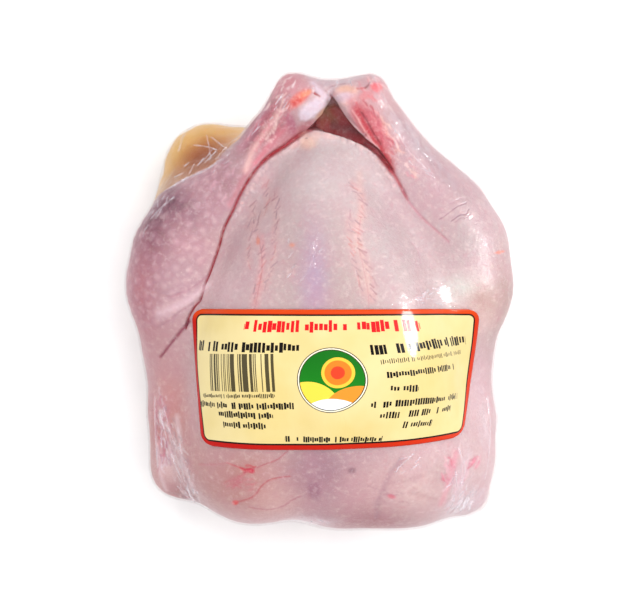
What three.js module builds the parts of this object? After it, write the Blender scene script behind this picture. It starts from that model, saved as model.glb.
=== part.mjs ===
// A whole raw chicken in a tight clear bag, with a printed label wrapped over its breast.
//
// The bird lies on its back. +Z is up through the breast, +Y runs to the hocks, -Y to the neck end, and the
// bird's left leg is on -X. The origin is the centre of the base. Millimetres.
//
// The bag is drawn as one closed solid: the form of the bird with the film stretched over it, so it follows
// the breast, legs, wings and tail, and bridges the gaps between them. It is a smooth blend of the bird's
// masses, meshed on a grid and pressed flat where the back lies on the table. The label is a thin sheet that
// follows the film.
import * as THREE from "three";

// ---- Driving dimensions ----
const BIRD_LENGTH = 196; // hocks to neck end
const BIRD_WIDTH = 168; // over the knees
const BIRD_HEIGHT = 96; // table to breast

const FILM_BRIDGE = 12; // how far the film spans the hollow between two masses
const BODY_BLEND = 6; // the same between the masses of the body
const LIMB_BLEND = 4; // the same between the joints of one limb
const GRID_STEP = 5.2; // size of the faces
const GRID_MARGIN = 3; // steps of the grid beyond the bird
const GRID_DEPTH = 8; // how far it goes on under the table
const SETTLE_STEPS = 4; // passes that draw the grid points on to the surface
const RELAX_ROUNDS = 4; // rounds that even out their spacing
const RELAX_SHARE = 0.5; // how far a round takes each point to the mean of its neighbours
const SLOPE_STEP = 0.05; // over which the slope of the distance is taken
const LEAST_SLOPE = 0.5; // where it is flatter, it is taken as this steep
const CREVICE_FILL = 0.01; // how far inside a filled corner of the grid is taken to lie
const TINY = 1e-9;

const LABEL_HEIGHT = 57;
const LABEL_LEFT = [-53.4, -48.6]; // where its left end lies, on the upper and on the lower edge
const LABEL_RIGHT = [67, 59.6];
const LABEL_BULGE = 1.3; // of the right end, half way down
const LABEL_THICKNESS = 0.5;
const LABEL_GAP = 0.4; // clear of the bag
const LABEL_CENTRE_X = 7.1;
const LABEL_TOP_Y = -2;
const LABEL_SMILE = 2.7; // how far the lower edge has risen at the reach
const LABEL_SKEW = 1.8; // the same on the right, and the other way on the left
const LABEL_REACH = 60;
const LABEL_CORNER = 5; // radius
const LABEL_COLUMNS = 30;
const LABEL_ROWS = 10; // between the corners
const CORNER_ROWS = 3;
const ROW_SAMPLES = 200; // for measuring half a row along the film
const DROP_START = BIRD_HEIGHT + 10; // where the search for the film's height begins
const DROP_STEPS = 60;
const DROP_SHARE = 0.8; // of the distance left, taken in one step
const DROP_END = 0.001;

const BAG_COLOUR = 0xdbbfc4;
const BAG_ROUGHNESS = 0.25;
const LABEL_COLOUR = 0xf3e2a0;
const LABEL_ROUGHNESS = 0.35;

// ---- The bird's masses ----
const reach = { side: BIRD_WIDTH / 2, end: BIRD_LENGTH / 2 };

// An ellipsoid has a centre, three radii and a turn about Z in degrees.
const body = [
  { centre: [0, -16, 36], radii: [64, 74, 42], turn: 0 }, // ribs and back
  { centre: [0, 44, 28], radii: [44, 34, 25], turn: 0 }, // rump
  { centre: [3, -9.5, BIRD_HEIGHT - 46], radii: [36, 83, 45], turn: 0 }, // keel
  { centre: [-17, -18.5, BIRD_HEIGHT - 49], radii: [37, 72, 46], turn: -8 }, // left breast
  { centre: [21, -18.5, BIRD_HEIGHT - 49], radii: [38, 72, 46], turn: 8 }, // right breast
];

// A limb is a run of joints, each a place and a radius.
const limbs = {
  leftLeg: [
    { at: [-reach.side + 24.5, 9.5, 44], radius: 24.3 },
    { at: [-57.5, 22, 45], radius: 22.5 },
    { at: [-53, 35, 47], radius: 19 },
    { at: [-44, 43, 49], radius: 16 },
    { at: [-34, 54, 53], radius: 12 },
    { at: [-23, 70, 57], radius: 8.5 },
    { at: [-9.8, reach.end - 12.2, 61], radius: 9.8 },
    { at: [-12, reach.end - 5.7, 61], radius: 4 },
    { at: [0, 81, 62], radius: 7 },
  ],
  rightLeg: [
    { at: [reach.side - 25, 9, 44], radius: 25 },
    { at: [58, 24, 44], radius: 23 },
    { at: [51, 37, 46], radius: 21.5 },
    { at: [43, 47, 49], radius: 18.6 },
    { at: [33, 60, 54], radius: 15.3 },
    { at: [26, 72, 58], radius: 12.9 },
    { at: [19.6, reach.end - 12.2, 62], radius: 9.8 },
    { at: [23.2, reach.end - 5.9, 62], radius: 4.2 },
  ],
  leftThigh: [
    { at: [-50, 20, 32], radius: 24 },
    { at: [-55, -7, 38], radius: 22 },
  ],
  rightThigh: [
    { at: [50, 20, 32], radius: 24 },
    { at: [54, -6, 38], radius: 22 },
  ],
  hockWeb: [
    { at: [-9, 85.5, 61], radius: 6.5 },
    { at: [18, 85.5, 62], radius: 6.5 },
  ],
  leftShoulder: [
    { at: [-31, -62, 42], radius: 31 },
    { at: [-29.5, -63, 42], radius: 31 },
  ],
  rightShoulder: [
    { at: [13, -65.2, 42], radius: 31 },
    { at: [38, -65.7, 42], radius: 31 },
  ],
  leftWing: [
    { at: [-59.5, -25, 34], radius: 16.2 },
    { at: [-60, -46, 35], radius: 14.5 },
    { at: [-61.5, -72, 36], radius: 12.5 },
  ],
  rightWing: [
    { at: [58.5, -27, 34], radius: 16.2 },
    { at: [61.5, -50, 35], radius: 15 },
    { at: [62.5, -67, 36], radius: 13.5 },
    { at: [64.8, -82.6, 36], radius: 9.2 },
  ],
  tail: [
    { at: [-35, 60.6, 28], radius: 17.5 },
    { at: [-48.4, 59.2, 26], radius: 19.4 },
    { at: [-53, 49, 27], radius: 18 },
  ],
};

// ---- Signed distance to the blended form ----
function ellipsoidDistance({ centre, radii, turn }) {
  const [a, b, c] = radii;
  const cos = Math.cos(THREE.MathUtils.degToRad(turn));
  const sin = Math.sin(THREE.MathUtils.degToRad(turn));
  return (x, y, z) => {
    const dx = x - centre[0];
    const dy = y - centre[1];
    const px = cos * dx + sin * dy;
    const py = cos * dy - sin * dx;
    const pz = z - centre[2];
    const scaled = Math.hypot(px / a, py / b, pz / c);
    const slope = Math.hypot(px / a ** 2, py / b ** 2, pz / c ** 2);
    return (scaled * (scaled - 1)) / Math.max(slope, TINY);
  };
}

// The distance to a bar with two round ends of different radius.
function barDistance(from, to) {
  const start = new THREE.Vector3(...from.at);
  const along = new THREE.Vector3(...to.at).sub(start);
  const lengthSq = along.lengthSq();
  return (x, y, z) => {
    const dx = x - start.x;
    const dy = y - start.y;
    const dz = z - start.z;
    const share = THREE.MathUtils.clamp((dx * along.x + dy * along.y + dz * along.z) / lengthSq, 0, 1);
    const gap = Math.hypot(dx - share * along.x, dy - share * along.y, dz - share * along.z);
    return gap - THREE.MathUtils.lerp(from.radius, to.radius, share);
  };
}

// The lesser of two distances, rounded over where they are within `span` of each other.
function blend(a, b, span) {
  const near = Math.max(span - Math.abs(a - b), 0) / span;
  return Math.min(a, b) - (near * near * span) / 4;
}

const bodyDistances = body.map(ellipsoidDistance);
const limbDistances = Object.values(limbs).map((joints) =>
  joints.slice(1).map((joint, i) => barDistance(joints[i], joint)),
);

function filmDistance(x, y, z) {
  let distance = bodyDistances.reduce((least, mass) => blend(least, mass(x, y, z), BODY_BLEND), Infinity);
  for (const bars of limbDistances) {
    const limb = bars.reduce((least, bar) => blend(least, bar(x, y, z), LIMB_BLEND), Infinity);
    distance = blend(distance, limb, FILM_BRIDGE);
  }
  return distance;
}

function filmSlope(x, y, z) {
  return new THREE.Vector3(
    filmDistance(x + SLOPE_STEP, y, z) - filmDistance(x - SLOPE_STEP, y, z),
    filmDistance(x, y + SLOPE_STEP, z) - filmDistance(x, y - SLOPE_STEP, z),
    filmDistance(x, y, z + SLOPE_STEP) - filmDistance(x, y, z - SLOPE_STEP),
  ).divideScalar(2 * SLOPE_STEP);
}

// ---- Meshing ----
const GRID_AXES = [
  [1, 0, 0],
  [0, 1, 0],
  [0, 0, 1],
];
const FACE_SIDES = [
  [GRID_AXES[0], GRID_AXES[1]],
  [GRID_AXES[1], GRID_AXES[2]],
  [GRID_AXES[2], GRID_AXES[0]],
];

// Draws a point on to the film.
function settle(point) {
  for (let pass = 0; pass < SETTLE_STEPS; pass++) {
    const slope = filmSlope(point.x, point.y, point.z);
    const distance = filmDistance(point.x, point.y, point.z);
    point.addScaledVector(slope, -distance / Math.max(slope.lengthSq(), LEAST_SLOPE ** 2));
  }
}

// Moves each vertex towards the mean of its neighbours.
function evenOut(vertices, quads) {
  const sums = vertices.map(() => new THREE.Vector3());
  const neighbours = new Array(vertices.length).fill(0);
  for (const ring of quads)
    ring.forEach((a, n) => {
      const b = ring[(n + 1) % ring.length];
      sums[a].add(vertices[b]);
      sums[b].add(vertices[a]);
      neighbours[a]++;
      neighbours[b]++;
    });
  vertices.forEach((vertex, n) => vertex.lerp(sums[n].divideScalar(neighbours[n]), RELAX_SHARE));
}

// Splits each square along its shorter diagonal, or along the other where an edge already joins the two.
function splitQuads(vertices, quads) {
  const edgeKey = (a, b) => Math.min(a, b) * vertices.length + Math.max(a, b);
  const joined = new Set(quads.flatMap((ring) => ring.map((a, n) => edgeKey(a, ring[(n + 1) % 4]))));
  const faces = [];
  for (const [a, b, c, d] of quads) {
    const acShorter = vertices[a].distanceTo(vertices[c]) < vertices[b].distanceTo(vertices[d]);
    const splitAc = acShorter ? !joined.has(edgeKey(a, c)) : joined.has(edgeKey(b, d));
    joined.add(splitAc ? edgeKey(a, c) : edgeKey(b, d));
    if (splitAc) faces.push(a, b, c, a, c, d);
    else faces.push(a, b, d, b, c, d);
  }
  return faces;
}

// Fills each crevice thinner than a grid cell, where the corners of a cell's face lie in and out by turns,
// because two sheets of film would share one edge there.
function fillCrevices(values, counts, index) {
  let filled = true;
  while (filled) {
    filled = false;
    for (let k = 0; k < counts[2] - 1; k++)
      for (let j = 0; j < counts[1] - 1; j++)
        for (let i = 0; i < counts[0] - 1; i++)
          for (const [u, v] of FACE_SIDES) {
            const near = index(i, j, k);
            const alongU = index(i + u[0], j + u[1], k + u[2]);
            const alongV = index(i + v[0], j + v[1], k + v[2]);
            const far = index(i + u[0] + v[0], j + u[1] + v[1], k + u[2] + v[2]);
            const isIn = (corner) => values[corner] < 0;
            const byTurns = isIn(near) === isIn(far) && isIn(alongU) === isIn(alongV);
            if (!byTurns || isIn(near) === isIn(alongU)) continue;
            const outside = isIn(near) ? [alongU, alongV] : [near, far];
            const nearest = values[outside[0]] < values[outside[1]] ? outside[0] : outside[1];
            values[nearest] = -CREVICE_FILL;
            filled = true;
          }
  }
}

// One vertex for each grid cell that the surface crosses, at the mean of the crossings of its edges, and one
// square for each grid edge that it crosses. The vertices are then drawn on to the surface, and those under
// the table are lifted on to it.
function meshFilm() {
  const margin = GRID_MARGIN * GRID_STEP;
  const low = [-reach.side - margin, -reach.end - margin, -margin - GRID_DEPTH];
  const high = [reach.side + margin, reach.end + margin, BIRD_HEIGHT + margin];
  const counts = low.map((value, axis) => Math.ceil((high[axis] - value) / GRID_STEP) + 1);
  const index = (i, j, k) => (k * counts[1] + j) * counts[0] + i;
  const values = new Float32Array(counts[0] * counts[1] * counts[2]);
  for (let k = 0; k < counts[2]; k++)
    for (let j = 0; j < counts[1]; j++)
      for (let i = 0; i < counts[0]; i++)
        values[index(i, j, k)] = filmDistance(
          low[0] + i * GRID_STEP,
          low[1] + j * GRID_STEP,
          low[2] + k * GRID_STEP,
        );

  fillCrevices(values, counts, index);

  const corners = [];
  for (let n = 0; n < 8; n++) corners.push([n & 1, (n >> 1) & 1, (n >> 2) & 1]);
  const edges = [];
  corners.forEach((a, n) =>
    corners.slice(n + 1).forEach((b) => {
      if (a.reduce((sum, value, axis) => sum + Math.abs(value - b[axis]), 0) === 1) edges.push([a, b]);
    }),
  );

  const vertexOf = new Map();
  const vertices = [];
  for (let k = 0; k < counts[2] - 1; k++)
    for (let j = 0; j < counts[1] - 1; j++)
      for (let i = 0; i < counts[0] - 1; i++) {
        const mean = new THREE.Vector3();
        let crossings = 0;
        for (const [a, b] of edges) {
          const va = values[index(i + a[0], j + a[1], k + a[2])];
          const vb = values[index(i + b[0], j + b[1], k + b[2])];
          if (va < 0 === vb < 0) continue;
          const share = va / (va - vb);
          mean.add(new THREE.Vector3(...a).lerp(new THREE.Vector3(...b), share));
          crossings++;
        }
        if (!crossings) continue;
        mean.divideScalar(crossings).add(new THREE.Vector3(i, j, k)).multiplyScalar(GRID_STEP);
        vertexOf.set(index(i, j, k), vertices.length);
        vertices.push(mean.add(new THREE.Vector3(...low)));
      }

  const quads = [];
  for (let k = 1; k < counts[2] - 1; k++)
    for (let j = 1; j < counts[1] - 1; j++)
      for (let i = 1; i < counts[0] - 1; i++)
        GRID_AXES.forEach((step, axis) => {
          const inside = values[index(i, j, k)] < 0;
          if (inside === values[index(i + step[0], j + step[1], k + step[2])] < 0) return;
          const u = GRID_AXES[(axis + 1) % 3];
          const v = GRID_AXES[(axis + 2) % 3];
          const cellBack = (a, b) =>
            vertexOf.get(index(i - a * u[0] - b * v[0], j - a * u[1] - b * v[1], k - a * u[2] - b * v[2]));
          const ring = [cellBack(0, 0), cellBack(1, 0), cellBack(1, 1), cellBack(0, 1)];
          quads.push(inside ? ring : ring.reverse());
        });

  vertices.forEach(settle);
  for (let round = 0; round < RELAX_ROUNDS; round++) {
    evenOut(vertices, quads);
    vertices.forEach(settle);
  }

  for (const vertex of vertices) vertex.z = Math.max(vertex.z, 0);
  const geometry = new THREE.BufferGeometry().setFromPoints(vertices);
  geometry.setIndex(splitQuads(vertices, quads));
  geometry.computeVertexNormals();
  return geometry;
}

// ---- The label ----
// The height of the film over a point of the table.
function filmHeight(x, y) {
  let z = DROP_START;
  for (let step = 0; step < DROP_STEPS; step++) {
    const distance = filmDistance(x, y, z);
    if (distance < DROP_END) break;
    z -= distance * DROP_SHARE;
  }
  return z;
}

// The label's rows, from its top edge down, each with its share of the height and how far its ends are
// drawn in by the round corners.
function labelRows() {
  const corner = [];
  for (let n = 0; n < CORNER_ROWS; n++) {
    const angle = ((n / CORNER_ROWS) * Math.PI) / 2;
    corner.push({ down: LABEL_CORNER * (1 - Math.cos(angle)), inset: LABEL_CORNER * (1 - Math.sin(angle)) });
  }
  const straight = LABEL_HEIGHT - 2 * LABEL_CORNER;
  const middle = [];
  for (let n = 0; n <= LABEL_ROWS; n++) {
    middle.push({ down: LABEL_CORNER + (straight * n) / LABEL_ROWS, inset: 0 });
  }
  const foot = corner.map(({ down, inset }) => ({ down: LABEL_HEIGHT - down, inset })).reverse();
  return [...corner, ...middle, ...foot];
}

// Points at even steps along the film, over a line on the table given by `pointAt`.
function evenPoints(pointAt, from, to, count) {
  const samples = [];
  for (let n = 0; n <= ROW_SAMPLES; n++) {
    samples.push(pointAt(THREE.MathUtils.lerp(from, to, n / ROW_SAMPLES)));
  }
  const run = [0];
  for (let n = 1; n <= ROW_SAMPLES; n++) run.push(run[n - 1] + samples[n].distanceTo(samples[n - 1]));
  const points = [];
  let last = 0;
  for (let n = 0; n <= count; n++) {
    const wanted = (run[ROW_SAMPLES] * n) / count;
    while (last < ROW_SAMPLES - 1 && run[last + 1] < wanted) last++;
    const share = (wanted - run[last]) / (run[last + 1] - run[last]);
    points.push(samples[last].clone().lerp(samples[last + 1], share));
  }
  return points;
}

// The points of one row, from its left end to its right end.
function rowPoints({ down, inset }) {
  const share = down / LABEL_HEIGHT;
  const left = THREE.MathUtils.lerp(...LABEL_LEFT, share) + inset;
  const bulge = 4 * share * (1 - share) * LABEL_BULGE;
  const right = THREE.MathUtils.lerp(...LABEL_RIGHT, share) + bulge - inset;
  const pointAt = (x) => {
    const out = (x - LABEL_CENTRE_X) / LABEL_REACH;
    const y = LABEL_TOP_Y - down + share * out * (LABEL_SMILE * out + LABEL_SKEW);
    return new THREE.Vector3(x, y, filmHeight(x, y));
  };
  const leftHalf = evenPoints(pointAt, LABEL_CENTRE_X, left, LABEL_COLUMNS / 2);
  const rightHalf = evenPoints(pointAt, LABEL_CENTRE_X, right, LABEL_COLUMNS / 2);
  return [...leftHalf.reverse(), ...rightHalf.slice(1)];
}

function labelGeometry() {
  const rows = labelRows().map(rowPoints);
  const positions = [];
  for (const lift of [LABEL_GAP + LABEL_THICKNESS, LABEL_GAP])
    for (const point of rows.flat()) {
      const out = filmSlope(point.x, point.y, point.z).normalize();
      positions.push(...point.clone().addScaledVector(out, lift).toArray());
    }
  const across = LABEL_COLUMNS + 1;
  const layer = across * rows.length;
  const faces = [];
  for (let r = 0; r < rows.length - 1; r++)
    for (let c = 0; c < LABEL_COLUMNS; c++) {
      const a = r * across + c;
      const [b, d, e] = [a + 1, a + across, a + across + 1];
      faces.push(a, d, e, a, e, b);
      faces.push(a + layer, e + layer, d + layer, a + layer, b + layer, e + layer);
    }
  const rim = [];
  const lastRow = (rows.length - 1) * across;
  for (let c = 0; c < LABEL_COLUMNS; c++) rim.push(c);
  for (let r = 0; r < rows.length - 1; r++) rim.push(r * across + LABEL_COLUMNS);
  for (let c = LABEL_COLUMNS; c > 0; c--) rim.push(lastRow + c);
  for (let r = rows.length - 1; r > 0; r--) rim.push(r * across);
  rim.forEach((a, n) => {
    const b = rim[(n + 1) % rim.length];
    faces.push(a, b, b + layer, a, b + layer, a + layer);
  });
  const geometry = new THREE.BufferGeometry();
  geometry.setAttribute("position", new THREE.Float32BufferAttribute(positions, 3));
  geometry.setIndex(faces);
  geometry.computeVertexNormals();
  return geometry;
}

// ---- The model ----
function part(name, geometry, color, roughness) {
  const mesh = new THREE.Mesh(geometry, new THREE.MeshStandardMaterial({ color, roughness, metalness: 0 }));
  mesh.name = name;
  return mesh;
}

const chicken = new THREE.Group();
chicken.name = "bagged_bird";
chicken.add(part("bagged_chicken", meshFilm(), BAG_COLOUR, BAG_ROUGHNESS));
chicken.add(part("label", labelGeometry(), LABEL_COLOUR, LABEL_ROUGHNESS));

export default chicken;
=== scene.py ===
"""A whole raw chicken, breast up, in a tight clear bag with a printed label over its breast.

Metres, Z up, +Y to the hocks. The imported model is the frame: the bird and the film stand in for its bagged
bird, and the printed label for its label.
"""
import math
from collections import namedtuple

import bpy
import numpy as np
from bpy.props import FloatProperty, FloatVectorProperty, IntProperty, PointerProperty
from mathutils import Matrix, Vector
from mathutils.bvhtree import BVHTree
from mathutils.kdtree import KDTree


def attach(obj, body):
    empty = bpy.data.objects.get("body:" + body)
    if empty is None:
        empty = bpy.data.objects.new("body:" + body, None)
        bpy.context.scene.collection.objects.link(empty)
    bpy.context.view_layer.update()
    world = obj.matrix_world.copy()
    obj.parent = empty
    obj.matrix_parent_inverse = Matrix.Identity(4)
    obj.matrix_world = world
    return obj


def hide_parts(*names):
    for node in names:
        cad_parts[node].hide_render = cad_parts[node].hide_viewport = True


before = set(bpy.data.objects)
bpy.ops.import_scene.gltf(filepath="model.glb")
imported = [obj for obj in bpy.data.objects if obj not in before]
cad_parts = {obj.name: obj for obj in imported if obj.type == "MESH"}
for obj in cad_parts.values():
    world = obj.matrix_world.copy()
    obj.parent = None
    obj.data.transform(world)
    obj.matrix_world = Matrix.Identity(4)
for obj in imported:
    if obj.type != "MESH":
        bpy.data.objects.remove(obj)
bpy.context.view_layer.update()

bl_info = {
    "name": "Wrapped Whole Chicken",
    "version": (1, 0, 0),
    "blender": (4, 5, 0),
    "location": "View3D > Sidebar > Wrapped Chicken",
    "description": "Builds a whole raw chicken in a clear bag with a printed label",
    "category": "Add Mesh",
}

MM = 0.001
BAG_NODE = "bagged_chicken"
LABEL_NODE = "label"


def shade(red, green, blue):
    """A colour named by its three screen values from 0 to 255, as the shaders read it."""
    values = np.array([red, green, blue]) / 255
    return tuple(np.where(values <= 0.04045, values / 12.92, ((values + 0.055) / 1.055) ** 2.4).tolist())


# ---- The bird's masses, in millimetres ----
# A mass has a centre, three radii and a turn about Z in degrees.
Mass = namedtuple("Mass", "centre radii turn")
BODY = [
    Mass((0, -16, 36), (64, 74, 42), 0),  # ribs and back
    Mass((0, 44, 28), (44, 34, 25), 0),  # rump
    Mass((3, -9.5, 50), (36, 83, 45), 0),  # keel
    Mass((-17, -18.5, 47), (37, 72, 46), -8),  # left breast
    Mass((21, -18.5, 47), (38, 72, 46), 8),  # right breast
]
# A limb is a run of joints, each x, y, z and its radius.
LIMBS = {
    "left leg": [
        (-59.5, 9.5, 44, 24.3), (-57.5, 22, 45, 22.5), (-53, 35, 47, 19), (-44, 43, 49, 16),
        (-34, 54, 53, 12), (-23, 70, 57, 8.5), (-9.8, 85.8, 61, 9.8), (0, 81, 62, 7),
    ],
    "right leg": [
        (59, 9, 44, 25), (58, 24, 44, 22.5), (51, 37, 46, 21), (43, 47, 49, 18),
        (33, 60, 54, 14.6), (26, 72, 58, 12), (19.6, 85.8, 62, 9.2),
    ],
    "left thigh": [(-50, 20, 32, 24), (-55, -7, 38, 22)],
    "right thigh": [(50, 20, 32, 24), (54, -6, 38, 22)],
    "left shoulder": [(-31, -62, 42, 31), (-29.5, -63, 42, 31)],
    "right shoulder": [(13, -65.2, 42, 31), (38, -65.7, 42, 31)],
    "left wing": [(-59.5, -25, 34, 16), (-60, -46, 35, 14.5), (-61.5, -72, 36, 12)],
    "right wing": [(58.5, -27, 34, 16), (61.5, -50, 35, 15), (62, -67, 36, 13), (62.5, -77, 36, 8)],
    "tail": [(-35, 60.6, 28, 17.5), (-48.4, 59.2, 26, 19.4), (-53, 49, 27, 18)],
}
JOINT_ENDS = [
    (-2, 83.5, 62.5, 6.5), (11.5, 86, 62, 6), (-12, 88, 60, 9.5), (20, 88.5, 60.5, 8.5),
    (0, 88, 56, 6), (10, 88, 56, 6),
]
COARSE_STEP = 2
SWELLING = (6, -4.8)  # out over the gaps between masses, then back
TIGHT_GAP = 0.9  # between the skin and the film that is tight over it
BRIDGED = (-10, -6)  # gaps that the film bridges: wholly and not at all
HOLLOW_MARGIN = (-2.5, -0.5)
HOLLOW_HEIGHTS = (40, 50)  # between which the hollow lets go of the film
# How the skin is refined: the faces' least upward lean and height in metres, then how far beside a drawn
# line its faces are split, and which strokes are thin enough to need it.
REFINED_LEAN, REFINED_HEIGHT = 0.12, 0.03
FINE_HEIGHT = 0.04
STROKE_REACH, BROAD_STROKE = 1.5, 1.3
THIN_REACH, THIN_STROKE = 0.9, 0.3
SPOT_REACH = 1.3
CREASE_REACH = 1.1
LOBE_REACH = 1.4
HOLLOW_MIDDLE, HOLLOW_HALF, HOLLOW_START = 8, 26, 62  # across, half across and along
UNDER_LABEL = ((6, -28), (50, 20))  # middle and half sizes of what the label hides
MOST_FACES = 190000
PLAIN_STEP = 0.006  # most that colour changes from point to point where the skin counts as plain
PLAIN_LEVELS = 5

# ---- The bird's skin, in millimetres, seen from above ----
# An area is a soft patch: its centre, half sizes, turn in degrees, colour and strength.
Area = namedtuple("Area", "x y wide long turn colour strength", defaults=(0, None, 1))
AREAS = [
    Area(5, 10, 46, 70, 0, (185, 167, 162), 0.9),  # breast
    Area(2, 58, 26, 22, 0, (213, 199, 200), 0.9),  # breast tip
    Area(-30, 22, 15, 42, -12, (201, 177, 181), 0.8),  # breast, left side
    Area(-2, 10, 6, 22, 0, (183, 151, 193), 0.55),  # keel
    Area(28, 30, 16, 28, 10, (197, 183, 184), 0.7),  # breast, right side
    Area(-60, 20, 22, 30, 0, (197, 152, 156), 1),  # left drumstick
    Area(-73, 32, 10, 26, 8, (126, 70, 89), 1),  # its outer side
    Area(-60, 42, 13, 9, -30, (97, 51, 71), 0.9),  # its outer knee
    Area(-76, 0, 9, 26, 0, (192, 108, 121), 0.8),  # left thigh's side
    Area(-58, 8, 12, 14, 0, (195, 170, 174), 0.7),  # left thigh
    Area(-40, 52, 10, 14, -35, (162, 119, 126), 0.9),  # left shank
    Area(-22, 76, 10, 12, -35, (144, 37, 58), 1),  # left ankle
    Area(-14, 93, 9, 7, 0, (203, 128, 138), 0.9),
    Area(46, 48, 22, 18, 40, (196, 164, 170), 0.9),  # right drumstick
    Area(64, 26, 17, 24, 0, (184, 166, 166), 0.9),
    Area(78, -2, 9, 26, 0, (158, 131, 120), 0.8),  # right thigh's side
    Area(64, -4, 10, 10, 0, (233, 206, 198), 0.8),
    # painted highlight: a pale patch where glare lies above the label's right end
    Area(60, 6, 9, 7, 0, (213, 227, 216), 0.6),
    Area(24, 84, 9, 12, 30, (207, 158, 161), 1),  # right ankle
    Area(-64, -60, 12, 34, 0, (203, 125, 115), 0.9),  # left wing
    Area(-32, -74, 26, 20, 0, (193, 136, 126), 0.9),  # left shoulder
    Area(-12, -82, 14, 12, 0, (231, 186, 181), 0.8),
    Area(2, -70, 16, 14, 0, (159, 123, 137), 0.9),  # between the shoulders
    Area(20, -78, 14, 14, 0, (204, 153, 160), 0.8),
    Area(40, -78, 22, 16, 0, (228, 198, 195), 0.9),  # right shoulder
    Area(22, -94, 20, 8, 0, (168, 96, 103), 0.9),
    Area(67, -64, 14, 26, 0, (212, 181, 182), 0.9),  # right wing
    Area(-63, -70, 7, 13, 8, (181, 138, 140), 0.8),
    Area(-56, -84, 9, 4, -35, (139, 49, 46), 0.6),
    Area(-40, 6, 7, 10, 0, (227, 198, 201), 0.7),  # breast beside the left thigh
    Area(-65.5, -70, 6, 8, 0, (242, 211, 210), 0.7),
    Area(68, 2, 7, 7, 0, (180, 144, 135), 0.8),
    Area(51, -70, 6, 7, 0, (194, 164, 164), 0.7),
    Area(34.5, 66, 6, 9, 38, (172, 128, 136), 0.5),  # right shank
    # painted shade: the left shank's shaded edge beside the tail
    Area(-28, 69.5, 4, 8, -38, (124, 51, 64), 0.8),
    Area(-68, 38, 6, 9, -25, (84, 32, 55), 0.5),
    Area(41, 67, 26, 3.4, -48, (149, 109, 112), 0.7),  # film drawn from hock to knee
]
TOP_LEAN, TOP_HEIGHTS = (-0.1, 0.25), (38, 44)  # the leans and heights over which the drawing sets in
LOW_PAINT, PAINT_FADE = 16, 14  # the height at which the areas set in, and over how much they do
LEG_PAINT_RISE, LEG_PAINT_ENDS = 16, (52, 64)  # how much higher that is at the ankles, and where
LOW_SHARE = 0.2  # of the areas' colour on what lies low
PAINT_DEPTH = 0.9
BASE_COLOUR = (216, 184, 190)
BACK_COLOUR = (214, 178, 172)

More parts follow.
